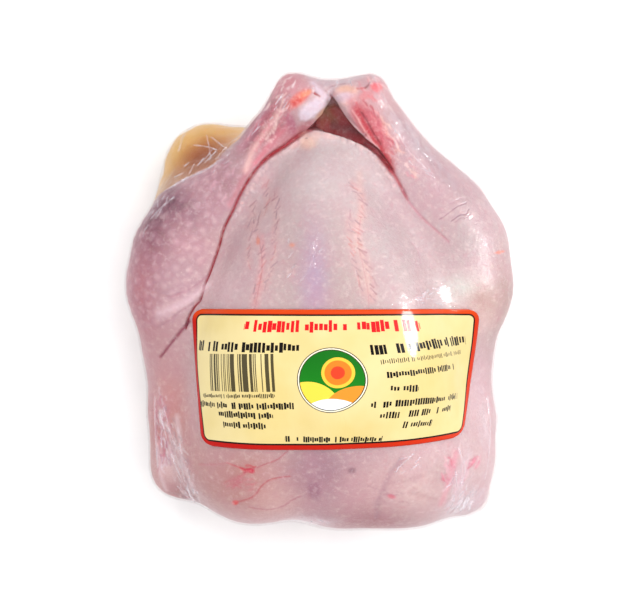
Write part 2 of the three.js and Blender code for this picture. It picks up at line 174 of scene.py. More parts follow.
# A stroke is a drawn line on the skin: its points, half width at both ends, colour, strength and how deep
# it is pressed in.
Stroke = namedtuple("Stroke", "line width colour strength depth")
# The left crease, pressed in and drawn dark red; the dark is partly painted shade of the fold.
LEFT_CREASE = Stroke(
    [(-2.5, 73.4), (-8.2, 70.7), (-14, 66.6), (-17.4, 64.5), (-21.6, 61.6), (-25.4, 57.8), (-29.5, 52.3),
     (-33.3, 45.7), (-36.2, 39.4), (-40, 31.8), (-42.2, 23.8), (-45.6, 13.8), (-47.3, 9.6), (-49.7, 2.1),
     (-52.3, -1.2), (-54.9, -5.8), (-56.3, -10.4)], (0.66, 0.4), (168, 4, 26), 1, 1.3)
STROKES = [
    # where the left leg lies against the breast: flushed edge, then the crease itself, whose dark red is
    # partly painted shade
    Stroke([(-6, 74.5), (-14.5, 69), (-22.5, 63.5), (-30.5, 54.5), (-37.5, 41.5)], (2.2, 1.2),
           (210, 112, 126), 0.45, 0),
    LEFT_CREASE,
    Stroke([(-4, 73.2), (-9, 70.4), (-14.5, 66.6), (-19, 63.4), (-24, 59.4)], (1.5, 0.7),
           (176, 24, 40), 0.8, 0.4),
    # where the right leg leaves the breast, a crease whose dark red is partly painted shade
    Stroke([(26, 60.6), (30, 55.6), (33.4, 50), (36.6, 43.8)], (1.1, 0.45), (178, 44, 56), 0.9, 0.9),
    Stroke([(34.6, 48), (37.9, 41.8), (44, 34.9), (48.6, 30.9), (54, 26)], (0.7, 0.4),
           (204, 132, 146), 0.6, 0.4),
    # fold of skin over the left thigh
    Stroke([(-46.8, 8), (-52, 3.5), (-58, 0), (-67, -4)], (1.2, 2.8), (236, 208, 215), 0.75, -0.5),
    Stroke([(-47.3, 11.4), (-54, 6.4), (-64.5, 2.2)], (0.5, 0.5), (184, 130, 146), 0.5, 0.35),
    Stroke([(-49.7, 1.5), (-56.1, -2), (-67, -9.8)], (0.5, 0.5), (190, 138, 152), 0.4, 0.3),
    Stroke([(-54.5, -7.1), (-60.7, -14.3), (-67.9, -22.6)], (0.75, 0.6), (150, 58, 84), 0.95, 0.7),
    # sinews of the left shank
    Stroke([(-17, 80), (-22, 73), (-28, 64), (-31, 56)], (1.7, 1.4), (243, 196, 190), 0.7, -0.3),
    Stroke([(-22, 82), (-28, 73), (-33, 66)], (2, 2.4), (203, 142, 160), 0.6, 0.1),
    Stroke([(-13.5, 74), (-20, 68), (-27, 59)], (1.6, 1.2), (224, 122, 138), 0.6, 0.1),
    # wrinkles of the right knee and shank
    Stroke([(62.6, 39.8), (61, 37.5), (58.7, 37.2), (55, 34.6)], (0.26, 0.2), (138, 100, 114), 0.8, 0.22),
    Stroke([(61.5, 42.5), (57, 40.4), (52, 36.5), (50, 35.4)], (0.26, 0.2), (146, 110, 122), 0.75, 0.22),
    Stroke([(63.4, 38.4), (61.6, 36.2), (59, 36), (56.4, 34)], (0.22, 0.18), (160, 122, 134), 0.6, 0.15),
    Stroke([(59.4, 44.4), (54, 42)], (0.3, 0.2), (186, 150, 162), 0.45, 0.12),
    Stroke([(52, 31.8), (50.6, 29.6), (51.6, 28)], (0.3, 0.25), (190, 150, 150), 0.45, 0.15),
    Stroke([(31.5, 71), (35, 66.5), (39, 62)], (0.4, 0.35), (196, 136, 146), 0.5, 0.2),
    Stroke([(44, 57), (48, 52), (50, 47)], (0.4, 0.3), (204, 164, 176), 0.4, 0.12),
    Stroke([(47, 22.5), (51, 21), (54, 20.6)], (0.4, 0.3), (204, 170, 174), 0.4, 0.12),
    Stroke([(38, 26), (41, 22), (42, 17)], (0.4, 0.3), (206, 166, 176), 0.4, 0.12),
    # flushed bands along the rows of small wrinkles
    Stroke([(16.5, 54), (17, 40), (15.5, 28), (18, 16), (20.5, 2)], (1.5, 1.9), (236, 190, 178), 0.35, 0),
    Stroke([(17, 36), (15.6, 26), (17.5, 16), (19.4, 6), (20, -2)], (0.26, 0.22), (200, 140, 140), 0.4, 0.03),
    Stroke([(-23.5, 28), (-23.2, 18), (-24.6, 8), (-26, -1)], (0.9, 1.7), (230, 160, 162), 0.4, 0),
    Stroke([(-24.6, 26), (-23.4, 16), (-24.8, 6), (-26, -1)], (0.28, 0.24), (184, 118, 122), 0.5, 0.05),
    # vessels on the left shoulder
    Stroke([(-38.1, -65.4), (-33.1, -67.1), (-28.1, -68.4)], (0.35, 0.6), (205, 90, 100), 0.8, 0.15),
    Stroke([(-27.5, -68), (-22.3, -65.6), (-17.4, -63.7), (-13, -60)], (0.4, 0.3), (190, 95, 110), 0.7, 0.15),
    Stroke([(-35.4, -82.9), (-29.2, -80.8), (-26.2, -78.5), (-24.1, -75.3), (-21, -72.7), (-16.6, -71.5),
            (-12.1, -71.1)], (0.5, 0.35), (195, 85, 95), 0.75, 0.15),
    Stroke([(-29.4, -84.8), (-21.9, -86.1), (-15.6, -84.8), (-11.6, -82.2), (-8.1, -80.3)], (0.4, 0.4),
           (190, 105, 118), 0.65, 0.15),
    Stroke([(-50, -67), (-44, -66.5), (-38.1, -65.4)], (0.5, 0.3), (206, 130, 140), 0.5, 0.1),
    # folded left wing, pressed against the film
    Stroke([(-66.5, -48), (-68, -58), (-66, -66)], (0.7, 0.6), (192, 104, 128), 0.6, 0.3),
    Stroke([(-63.5, -52), (-65.5, -60), (-69.5, -72)], (0.6, 0.5), (198, 104, 126), 0.6, 0.3),
    Stroke([(-70, -45), (-70.5, -58)], (0.9, 0.6), (196, 128, 146), 0.5, 0.3),
    Stroke([(-60.5, -48), (-59, -58), (-57.4, -68), (-53, -80)], (1.4, 1.0), (238, 214, 218), 0.65, -0.3),
    Stroke([(-69, -60), (-68.5, -72), (-66, -80)], (1.3, 0.8), (240, 216, 220), 0.6, -0.3),
    Stroke([(-64, -84), (-58, -87), (-52, -90)], (1.6, 0.8), (216, 130, 134), 0.6, 0.2),
    Stroke([(-63, -82), (-56, -84), (-49, -89)], (0.5, 0.4), (150, 120, 124), 0.5, 0.4),
    # creases of the right shoulder
    Stroke([(33.5, -64), (28.9, -70.5), (26.2, -77.5), (24.2, -82.5), (24, -90)], (1.6, 1.2),
           (178, 136, 148), 0.5, 0.7),
    Stroke([(-2, -62), (-1.5, -74), (-2.5, -88)], (6, 8), (196, 148, 164), 0.35, 1.4),
    Stroke([(30, -74), (36, -72.6), (42, -71)], (1.4, 1), (196, 154, 158), 0.5, 0.1),
    Stroke([(38, -78), (44, -80), (49, -82)], (1.4, 0.8), (200, 158, 160), 0.5, 0.1),
    Stroke([(57, -62), (55, -72), (51, -84)], (1.6, 1.2), (238, 150, 168), 0.5, 0.1),
    Stroke([(63.5, -66), (60.5, -76)], (0.7, 0.4), (206, 110, 134), 0.6, 0.2),
]
DRAWN_SPREAD = 1.1  # how much wider a stroke is pressed in than coloured

# Rows of small wrinkles on the breast: their line, the lean of their ticks in degrees and a seed.
TICK_SPACING = 2.3
TICK_COLOURS = ((208, 138, 132), (166, 124, 130), (150, 122, 132))
TICK_WIDTH, TICK_DEPTH = (0.34, 0.24), 0.16
LINE_STRAY = 16  # degrees by which ticks and fibres differ in lean
LONGEST_LINE = 2.2  # half of it
LINE_STRENGTHS = (0.3, 0.75)
ROW_WIDTH, ROW_COLOUR, ROW_STRENGTH = (1.8, 1.8), (226, 172, 168), 0.3
WRINKLE_ROWS = [
    ([(-22.9, 52), (-21.8, 40.7), (-25.9, 34), (-25.3, 25.9), (-23.5, 22.1), (-23.8, 13.5), (-25.4, 5.4),
      (-26.5, -1.1)], 62, 3),
    ([(-18.4, 46), (-18, 34), (-18.9, 20.4), (-20.5, 12), (-22.5, 6)], 60, 4),
    ([(-27.5, 42), (-28.5, 30), (-29, 16)], 70, 9),
    ([(13.3, 50), (17.6, 44), (17.8, 38), (15.3, 31), (16.4, 24), (18.8, 19.1), (21.2, 10.2), (22, 2)],
     140, 5),
    ([(12, 36), (12.6, 26), (14.5, 16), (17.6, 5)], 130, 6),
    ([(-46, -48), (-30, -50), (-15, -52)], 10, 7),
]
# Marks and strokes on the open joints and the meat beside the hollow.
JOINT_MARKS = [
    Area(-8.6, 85.2, 5.8, 2.4, 40, (226, 82, 56), 1),  # end of the left drumstick's bone
    Area(-9.8, 83.6, 2.4, 1.3, 40, (208, 44, 34), 0.8),
    Area(-5.6, 87.5, 3, 1.2, 30, (240, 158, 116), 0.8),
    Area(-11.9, 75.2, 2, 4.4, 15, (178, 84, 116), 0.75),  # meat between joint and breast
    Area(1.6, 79.6, 1.7, 4.6, -44, (196, 146, 112), 0.85),  # brown edge of the joint
    Area(-5.2, 74.6, 4.4, 1.6, 30, (176, 104, 112), 0.7),
    Area(11.5, 89, 4.4, 1.8, -5, (232, 186, 164), 0.85),  # right joint
    Area(10.2, 85.9, 4, 2, 10, (216, 196, 210), 0.8),
    Area(23.6, 90.3, 2.5, 2.1, 0, (238, 78, 84), 1),  # flushed spot
    Area(19.4, 86.5, 3.2, 2, 20, (226, 110, 112), 0.5),
    Area(21.3, 73.2, 5, 14, 36, (208, 76, 90), 0.85),  # meat beside the hollow
]
# The darkest strokes, in the cracks at the joint ends and along the edges of the hollow, are partly painted
# shade.
JOINT_STROKES = [
    Stroke([(-2.1, 87.6), (-1.1, 86.9), (0, 86.3)], (0.6, 0.4), (170, 10, 16), 1, 0.5),
    Stroke([(-2.3, 86.7), (-1.3, 85.9), (-0.3, 85.2)], (0.5, 0.5), (240, 214, 214), 0.6, -0.15),
    Stroke([(18.9, 89.9), (19.8, 90.6), (21, 92.4)], (0.6, 0.3), (120, 34, 36), 0.9, 0.35),
    Stroke([(15.7, 89.4), (17.3, 89.6), (19, 89.8)], (0.5, 0.35), (200, 70, 70), 0.7, 0.15),
    Stroke([(15.7, 79.8), (18.2, 76.1), (20.3, 72.3), (22.8, 68.1), (26.1, 63.5), (29.9, 56.8)], (2.1, 1.6),
           (196, 36, 48), 0.95, 0.4),
    Stroke([(17.3, 79.4), (19.8, 75.6), (22.3, 71), (25.3, 66.5)], (0.5, 0.5), (140, 20, 34), 0.85, 0.35),
    Stroke([(19.4, 71), (22.8, 66), (26.1, 61.9), (30.7, 55.2)], (0.45, 0.4), (146, 24, 36), 0.8, 0.3),
    Stroke([(13.6, 80.2), (16.1, 76.5), (18.6, 72.3), (21.5, 68.1), (24.8, 64.4)], (0.45, 0.4),
           (238, 172, 170), 0.8, -0.35),
    Stroke([(9, 81.9), (11.1, 78.6), (13.6, 75.2), (16.9, 71.7), (20.3, 68.5), (24.4, 64.8)], (0.5, 0.4),
           (236, 196, 200), 0.75, -0.35),
    Stroke([(4.8, 86.9), (6.9, 84.2), (8.8, 80.7), (12.3, 76.1), (15.7, 71.9)], (0.5, 0.4),
           (120, 40, 44), 0.85, 0.35),
    Stroke([(2.7, 88.6), (4.4, 90.3), (7.3, 91.3), (10.6, 91.9)], (0.45, 0.35), (170, 116, 124), 0.5, 0.15),
    Stroke([(3.8, 84), (4.6, 80), (7.4, 75.4)], (1.5, 1.2), (116, 84, 48), 0.55, 0.3),
    Stroke([(6.4, 81.6), (9, 77.4), (12.6, 74.6)], (0.8, 0.6), (150, 66, 60), 0.6, -0.3),
    Stroke([(7.6, 74.4), (12.8, 72.8), (18.6, 70)], (1.1, 0.8), (92, 12, 20), 0.65, 0.3),
    Stroke([(18, 67.8), (22.6, 65), (26.6, 60.8)], (0.7, 0.5), (84, 8, 18), 0.6, 0.2),
    Stroke([(-17.3, 78.6), (-18.2, 75.2), (-19.9, 72.3), (-22.4, 69)], (0.6, 0.4),
           (242, 208, 200), 0.7, -0.3),
    Stroke([(-14.8, 85.2), (-16.1, 81.9), (-16.5, 79.4)], (0.5, 0.4), (240, 200, 194), 0.6, -0.25),
]
# Short fibres of meat scattered over an area: how many, their lean in degrees, their colours and a seed.
FIBRE_WIDTHS, FIBRE_TIP, FIBRE_DEPTHS = (0.3, 0.6), 0.25, (-0.15, 0.2)
FIBRES = [
    (Area(-21, 76, 6, 13, -36), 60, 54, ((246, 216, 214), (206, 110, 124), (224, 140, 152)), 51),
    (Area(-12, 90, 8, 6), 26, 50, ((240, 222, 224), (216, 150, 160)), 52),
    (Area(23.5, 72, 4.6, 15, 32), 70, -58, ((238, 176, 172), (196, 62, 76), (170, 44, 58)), 53),
    (Area(31, 66, 4.5, 16, 36), 50, -56, ((246, 214, 208), (224, 146, 154), (232, 190, 178)), 54),
    (Area(22, 90, 6, 5), 22, -50, ((244, 206, 204), (220, 116, 124)), 55),
    (Area(-40, 52, 7, 12, -35), 30, 50, ((222, 180, 190), (176, 122, 140)), 56),
    (Area(-67, -54, 4, 17, 4), 44, -84, ((238, 222, 230), (186, 116, 150), (200, 80, 110)), 57),
    (Area(-60, -66, 5, 24, 18), 60, -66, ((242, 230, 232), (176, 146, 154), (236, 216, 220)), 58),
    (Area(-58, -85, 8, 3, -28), 22, -28, ((216, 110, 120), (150, 116, 126), (236, 214, 214)), 59),
    (Area(-33, -74, 6, 5), 18, 20, ((206, 96, 108), (214, 130, 136)), 60),
    (Area(-28.5, -68, 2, 1.4), 8, -10, ((208, 30, 56),), 61),
    (Area(53.7, -70, 2.4, 6, -8), 20, -65, ((232, 140, 160), (214, 96, 122), (240, 184, 196)), 62),
    (Area(66.3, -67.6, 2.6, 2.4), 14, 45, ((232, 116, 144), (196, 70, 98), (240, 164, 182)), 63),
    (Area(58, -76, 6, 12, -20), 34, 60, ((244, 224, 228), (236, 190, 200), (206, 160, 172)), 64),
    (Area(30, -78, 12, 8), 24, -20, ((196, 152, 160), (214, 170, 174)), 65),
]

# Edges where the skin of the breast is puckered in small lobes: the line and a seed.
LOBED_EDGES = [
    ([(-6, 69.4), (-12.6, 65.2), (-19.6, 60.4), (-27, 52), (-31.4, 44.6), (-34.4, 38.2)], 11),
    ([(4, 70.4), (8, 69.2), (13.2, 67.4), (19.4, 64.2), (23.2, 61.2), (26.4, 57), (29.6, 52.6), (32, 47.6)],
     13),
]
LOBE_SPACING = 2.1
LOBE_SIZES, LOBE_STRENGTHS = (0.75, 1.15), (0.25, 0.6)
LOBE_COLOUR = (238, 208, 206)
LOBE_RISE = 0.5
# Loose lobes of skin at the tip of the breast.
KNOB_RISE = 0.8
TIP_KNOBS = [
    Area(-5.6, 68.2, 2.6, 3.4, 20, (236, 200, 184), 0.8),
    Area(-1.4, 70.6, 2.4, 1.8, 0, (234, 196, 186), 0.7),
    Area(3.2, 70.2, 2.6, 1.6, -10, (230, 194, 190), 0.7),
    Area(-10.6, 66.4, 2.2, 1.6, 30, (222, 178, 172), 0.6),
]

# Small round or oval marks.
SPOTS = [
    Area(-28.1, -68.4, 1.4, 1.0, -20, (214, 44, 70), 1),
    Area(-35.2, -82.9, 1.3, 1.0, 20, (226, 62, 66), 1),
    Area(-34.4, -72.9, 3.2, 2.0, 20, (200, 110, 118), 0.6),
    Area(-2.5, -77.8, 2.6, 4.0, 0, (160, 104, 128), 0.7),
    Area(13.3, -68.3, 1.5, 1.2, 0, (140, 100, 116), 0.8),
    Area(29.8, -79.7, 1.6, 0.9, -20, (232, 112, 130), 0.8),
    Area(-25.3, 25.9, 0.8, 1.5, 0, (222, 140, 116), 0.9),
    Area(-11.2, 24, 1.2, 0.9, 0, (222, 150, 128), 0.8),
    Area(76.1, 21.9, 2.2, 0.5, 10, (240, 130, 100), 0.8),
    Area(-4.4, 67.3, 3.4, 2.4, 20, (236, 204, 186), 0.9),
]
# The tail, as far as it shows beside the left leg.
TAIL = [
    (-72.5, 38.6), (-69, 44.6), (-65.6, 48.2), (-61.4, 51.4), (-56.2, 54), (-49, 56.8), (-44.3, 59),
    (-40.4, 61.5), (-36.1, 66.2), (-32.7, 71.4), (-29.3, 78.2), (-31.9, 89.3), (-85.3, 89.3), (-85.3, 37.6),
]
TAIL_MIDDLE = (-50, 57, 30)
TAIL_RADII = (28, 28, 30)
TAIL_FOOT = (-42, 52)  # by the leg, where the tail is painted darker as shade
TAIL_COLOUR, TAIL_RIM_COLOUR = (206, 134, 70), (238, 194, 112)
TAIL_UNEVEN = 0.35
TAIL_SHADOWS = [
    Area(-50, 62.5, 10.5, 7.5, 38, (152, 76, 34), 1),
    Area(-65, 50, 4, 9, -28, (158, 92, 56), 0.8),
    Area(-54, 57, 8, 4, 30, (170, 104, 60), 0.6),
]
# The film drawn between the ankles; the skin under it is painted grey-pink as the shade of the cavity seen
# through the film.
WEB = [(-7, 99), (-4.8, 94), (0.8, 89.8), (5, 86.5), (9, 89.6), (14, 92.6), (20, 95), (22, 99)]
WEB_SHADE_COLOUR = (206, 184, 190)
# The hollow between the ankles, behind the tip of the breast, sunk and painted dark red, partly as shade.
HOLLOW = [
    (5.2, 86.1), (6.9, 84), (9, 80.2), (12.7, 75.6), (16.1, 71.5), (19.4, 68.5), (24.4, 64.8), (27.8, 60.2),
    (30.3, 56), (29, 56.2), (27.4, 58.1), (24.4, 61.4), (21.1, 64.2), (17.7, 66.5), (13.6, 68.3),
    (10.6, 69.6), (7.7, 70.8), (4.4, 71.5), (1, 72.5), (-3.1, 72.7), (-5.6, 72.5), (-3.1, 74.4),
    (-0.6, 76.9), (1.5, 79), (2.7, 81.5), (4.4, 84),
]
HOLLOW_COLOURS = ((152, 26, 28), (168, 20, 42))  # at the left end and at the right; their darkness partly painted shade
HOLLOW_SPAN = (4, 30)  # where its floor starts to rise, and over what length
HOLLOW_DEPTHS = (8, 6.6)  # at the left end, and how much less at the right
OLIVE_PATCH = Area(3.6, 80, 2.8, 6.5, -20, (142, 84, 42), 0.9)
LEFT_CARTILAGE = [
    (-3.1, 84.8), (-1.5, 86.9), (-2.7, 90.3), (-4.8, 92.8), (-2.3, 92.8), (1, 89.4), (4.8, 86.1),
    (5.2, 84.8), (3.1, 82.3), (0.6, 80.2), (-2.3, 77.9), (-5.4, 76.2), (-8, 76.4), (-9, 78.4),
    (-8.6, 80.6), (-6.9, 82.3),
]
RIGHT_CARTILAGE = [
    (5.6, 86.1), (6, 88.6), (8.6, 90.7), (11.9, 91.3), (15.2, 90.7), (16.1, 88.6), (15.7, 85.7), (14, 83.2),
    (10.6, 82.1), (8.1, 82.3),
]
CARTILAGES = ((LEFT_CARTILAGE, (226, 210, 222)), (RIGHT_CARTILAGE, (228, 190, 188)))
CARTILAGE_RISE = 0.5

# Feather follicles on the legs.
LEGS = ("left leg", "left thigh", "right leg", "right thigh")
FOLLICLE_SEED = 5
FOLLICLE_REACH, FOLLICLE_FLOOR = 1.5, 12  # from the legs' surface, and their least height
LEG_REACH, LEG_END = 3, 64  # where the follicles have faded out beside the legs and fade towards the ankles
FOLLICLE_WIDTH = 1.7
RING_RADIUS, RING_WIDTH = 2.1, 0.7
FOLLICLE_COLOUR, RING_COLOUR = (226, 188, 199), (166, 112, 138)
# The left leg's follicles stand out more: where its side starts, and each effect's share on the right
# and how much more it is on the left.
LEFT_SIDE = (20, 40)
FOLLICLE_LIFTS, FOLLICLE_SHARES, RING_SHARES = (0.3, 0.7), (0.06, 0.34), (0.03, 0.2)


# ---- Settings ----
class BirdSettings(bpy.types.PropertyGroup):
    skin_step: FloatProperty(
        name="Skin step", description="Size of the skin's faces before its upper side is refined",
        default=0.0016, min=0.001, max=0.004, unit="LENGTH")
    softening: IntProperty(
        name="Softening", description="Passes that run the bird's masses into each other", default=14, min=0)
    follicle_spacing: FloatProperty(
        name="Follicle spacing", description="Distance between the feather follicles on the legs",
        default=0.0040, min=0.002, unit="LENGTH")
    follicle_height: FloatProperty(
        name="Follicle height", description="How far a follicle stands up", default=0.00035, unit="LENGTH")
    wetness: FloatProperty(
        name="Wetness", description="Strength of the wet coat on the skin", default=0.12, min=0, max=1,
        subtype="FACTOR")


class FilmSettings(bpy.types.PropertyGroup):
    step: FloatProperty(
        name="Film step", description="Size of the film's faces", default=0.0018, min=0.001, unit="LENGTH")
    clearance: FloatProperty(
        name="Clearance", description="Least gap between the skin and the film",
        default=0.0005, unit="LENGTH")
    tint: FloatVectorProperty(
        name="Tint", description="Colour of the film's haze", subtype="COLOR", size=3, min=0, max=1,
        default=shade(240, 234, 243))


class LabelSettings(bpy.types.PropertyGroup):
    length: FloatProperty(
        name="Length", description="Length of the upper edge", default=0.1405, unit="LENGTH")
    height: FloatProperty(name="Height", description="Height of the label", default=0.057, unit="LENGTH")
    ground: FloatVectorProperty(
        name="Ground", description="Colour of the printed ground", subtype="COLOR", size=3, min=0, max=1,
        default=shade(212, 190, 124))
    border: FloatVectorProperty(
        name="Border", description="Colour of the printed border", subtype="COLOR", size=3, min=0, max=1,
        default=shade(178, 8, 0))
    emblem: FloatVectorProperty(
        name="Emblem", description="Ground colour of the round emblem", subtype="COLOR", size=3, min=0, max=1,
        default=shade(15, 120, 18))


class StageSettings(bpy.types.PropertyGroup):
    lens: FloatProperty(name="Lens", description="Focal length in millimetres", default=98.7, min=20)
    eye_height: FloatProperty(
        name="Eye height", description="Height of the camera above the table", default=0.8, unit="LENGTH")
    fill: FloatProperty(name="Fill", description="Strength of the even light", default=0.95, min=0)
    key: FloatProperty(
        name="Key", description="Power of the soft key light", default=5.2, min=0, unit="POWER")


class ChickenSettings(bpy.types.PropertyGroup):
    bird: PointerProperty(type=BirdSettings, name="Bird")
    film: PointerProperty(type=FilmSettings, name="Film")
    label: PointerProperty(type=LabelSettings, name="Label")
    stage: PointerProperty(type=StageSettings, name="Stage")


# ---- Meshes ----
def pick(*objects):
    """Only these objects are selected, and the first is active."""
    bpy.ops.object.select_all(action="DESELECT")
    for item in objects:
        item.select_set(True)
    bpy.context.view_layer.objects.active = objects[0]


def apply_modifier(item, kind, **settings):
    """Adds a modifier to the object and applies it."""
    pick(item)
    modifier = item.modifiers.new(kind.lower(), kind)
    for key, value in settings.items():
        setattr(modifier, key, value)
    bpy.ops.object.modifier_apply(modifier=modifier.name)


def places_of(mesh):
    """Where the mesh's vertices are."""
    flat = np.empty(len(mesh.vertices) * 3, np.float32)
    mesh.vertices.foreach_get("co", flat)
    return flat.reshape(-1, 3).astype(float)


def outward(mesh):
    """The normals at the mesh's vertices."""
    flat = np.empty(len(mesh.vertices) * 3, np.float32)
    mesh.vertex_normals.foreach_get("vector", flat)
    return flat.reshape(-1, 3).astype(float)


def put_places(mesh, places):
    mesh.vertices.foreach_set("co", places.astype(np.float32).ravel())
    mesh.update()


def split_faces(item, wanted):
    """Subdivides the faces whose middle is wanted, a mask over the object's faces."""
    mesh = item.data
    pick(item)
    mesh.vertices.foreach_set("select", np.zeros(len(mesh.vertices), bool))
    mesh.edges.foreach_set("select", np.zeros(len(mesh.edges), bool))
    mesh.polygons.foreach_set("select", wanted)
    bpy.ops.object.mode_set(mode="EDIT")
    bpy.ops.mesh.select_mode(type="FACE")
    bpy.ops.mesh.subdivide(number_cuts=1)
    bpy.ops.object.mode_set(mode="OBJECT")


def seen_faces(item, lean, height=-math.inf):
    """The middles of the faces from above in millimetres, and which lean up enough above a height."""
    faces = item.data.polygons
    middles, normals = np.empty(len(faces) * 3, np.float32), np.empty(len(faces) * 3, np.float32)
    faces.foreach_get("center", middles)
    faces.foreach_get("normal", normals)
    middles, normals = middles.reshape(-1, 3), normals.reshape(-1, 3)
    return middles[:, :2] / MM, (normals[:, 2] > lean) & (middles[:, 2] > height)


def finish_piece(item, material, slot, *nodes):
    """Gives the piece its material and its place in the frame."""
    item.data.materials.clear()
    item.data.materials.append(material)
    item.data.polygons.foreach_set("use_smooth", np.ones(len(item.data.polygons), bool))
    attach(item, "root")
    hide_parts(*nodes)


def add_mass(mass):
    """A body mass: a ball stretched and turned."""
    bpy.ops.mesh.primitive_uv_sphere_add(
        segments=64, ring_count=32, radius=1, location=Vector(mass.centre) * MM,
        scale=Vector(mass.radii) * MM, rotation=(0, 0, math.radians(mass.turn)))
    return bpy.context.object


def add_ball(x, y, z, radius):
    bpy.ops.mesh.primitive_uv_sphere_add(
        segments=40, ring_count=20, radius=radius * MM, location=Vector((x, y, z)) * MM)
    return bpy.context.object


def add_shank(start, end):
    """A tapered bar between two joints."""
    low, high = Vector(start[:3]) * MM, Vector(end[:3]) * MM
    way = high - low
    bpy.ops.mesh.primitive_cone_add(
        vertices=40, radius1=start[3] * MM, radius2=end[3] * MM, depth=way.length,
        location=(low + high) / 2, rotation=way.to_track_quat("Z", "Y").to_euler())
    return bpy.context.object


# ---- Drawing on a surface from above ----
def curve_through(line, between=5):
    """A smooth line through the points."""
    line = np.array(line, float)
    if len(line) < 3:
        return line
    ends = np.vstack([2 * line[0] - line[1], line, 2 * line[-1] - line[-2]])
    share = np.linspace(0, 1, between, endpoint=False)[:, None]
    drawn = []
    for a, b, c, d in zip(ends, ends[1:], ends[2:], ends[3:]):
        drawn.append(0.5 * (2 * b + (c - a) * share + (2 * a - 5 * b + 4 * c - d) * share**2
                            + (3 * b - a - 3 * c + d) * share**3))
    return np.vstack([*drawn, line[-1:]])


def runs(path):
    """How far along a path each of its points lies."""
    return np.concatenate([[0], np.cumsum(np.linalg.norm(np.diff(path, axis=0), axis=1))])


def wrinkle_ticks(chain, lean, seed):
    """Short oblique wrinkles in a row along a chain."""
    draw = np.random.default_rng(seed)
    path = curve_through(chain, 8)
    run = runs(path)
    ticks = []
    for at in np.arange(0, run[-1], TICK_SPACING):
        middle = np.array([np.interp(at, run, path[:, k]) for k in (0, 1)]) + draw.normal(0, 0.5, 2)
        turn = math.radians(lean + draw.normal(0, LINE_STRAY))
        way = np.array([math.cos(turn), math.sin(turn)]) * draw.uniform(0.8, LONGEST_LINE)
        colour = TICK_COLOURS[draw.integers(len(TICK_COLOURS))]
        ticks.append(Stroke([tuple(middle - way), tuple(middle + way)], TICK_WIDTH, colour,
                            draw.uniform(*LINE_STRENGTHS), TICK_DEPTH))
    return ticks


def edge_lobes(line, seed):
    """Small round lobes in a row along a line."""
    draw = np.random.default_rng(seed)
    path = curve_through(line, 8)
    run = runs(path)
    lobes = []
    for at in np.arange(0, run[-1], LOBE_SPACING):
        at += draw.uniform(-0.5, 0.5)
        x, y = [np.interp(at, run, path[:, k]) + draw.normal(0, 0.25) for k in (0, 1)]
        size = draw.uniform(*LOBE_SIZES)
        lobes.append(Area(x, y, size, size * draw.uniform(0.8, 1.3), 0, LOBE_COLOUR,
                          draw.uniform(*LOBE_STRENGTHS)))
    return lobes


def strewn(area, count, lean, stray, longest, draw):
    """Short straight lines strewn over an area: the middle of each, and the way from there to its end."""
    turn = math.radians(area.turn)
    for reach, about in zip(np.sqrt(draw.uniform(size=count)), draw.uniform(0, 2 * np.pi, count)):
        across, along = area.wide * reach * math.cos(about), area.long * reach * math.sin(about)
        middle = np.array([area.x + across * math.cos(turn) - along * math.sin(turn),
                           area.y + across * math.sin(turn) + along * math.cos(turn)])
        way = math.radians(lean + draw.normal(0, stray))
        yield middle, np.array([math.cos(way), math.sin(way)]) * draw.uniform(0.6, longest)


def scattered_fibres():
    """The short fibres of meat, each a little bowed."""
    fibres = []
    for area, count, lean, tones, seed in FIBRES:
        draw = np.random.default_rng(seed)
        for middle, half in strewn(area, count, lean, LINE_STRAY, LONGEST_LINE, draw):
            bow = np.array([-half[1], half[0]]) * draw.normal(0, 0.2)
            fibres.append(Stroke([tuple(middle - half), tuple(middle + bow), tuple(middle + half)],
                                 (draw.uniform(*FIBRE_WIDTHS), FIBRE_TIP), tones[draw.integers(len(tones))],
                                 draw.uniform(*LINE_STRENGTHS), draw.uniform(*FIBRE_DEPTHS)))
    return fibres


def along_line(flat, line):
    """For each point, its distance from the line and the share of the line that lies before it."""
    line = np.array(line, float)
    steps = np.linalg.norm(np.diff(line, axis=0), axis=1)
    nearest = np.full(len(flat), np.inf)
    share = np.zeros(len(flat))
    run = 0
    for start, end, step in zip(line, line[1:], steps):
        way = np.clip((flat - start) @ (end - start) / step**2, 0, 1)
        gap = np.linalg.norm(flat - start - way[:, None] * (end - start), axis=1)
        nearer = gap < nearest
        nearest[nearer] = gap[nearer]
        share[nearer] = (run + way[nearer] * step) / steps.sum()
        run += step
    return nearest, share


def near_lines(flat, lines, reach):
    """Which points lie within reach of one of the lines."""
    near = np.zeros(len(flat), bool)
    for line in lines:
        near |= along_line(flat, curve_through(line))[0] < reach
    return near


def depth_inside(flat, outline):
    """How far each point lies inside a closed outline, negative outside it."""
    gap, _ = along_line(flat, [*outline, outline[0]])
    x, y = flat.T
    inside = np.zeros(len(flat), bool)
    for (x0, y0), (x1, y1) in zip(outline, [*outline[1:], outline[0]]):
        if y0 == y1:
            continue
        crosses = (y0 > y) != (y1 > y)
        inside ^= crosses & (x < x0 + (y - y0) / (y1 - y0) * (x1 - x0))
    return np.where(inside, gap, -gap)


def eased(values, low, high):
    """0 below low and 1 above high, with soft ends."""
    share = np.clip((values - low) / (high - low), 0, 1)
    return share * share * (3 - 2 * share)


def in_patch(flat, area):
    """Distance from the area's centre in its own half sizes."""
    turn = math.radians(area.turn)
    away = flat - (area.x, area.y)
    across = away @ (math.cos(turn), math.sin(turn))
    along = away @ (-math.sin(turn), math.cos(turn))
    return np.hypot(across / area.wide, along / area.long)


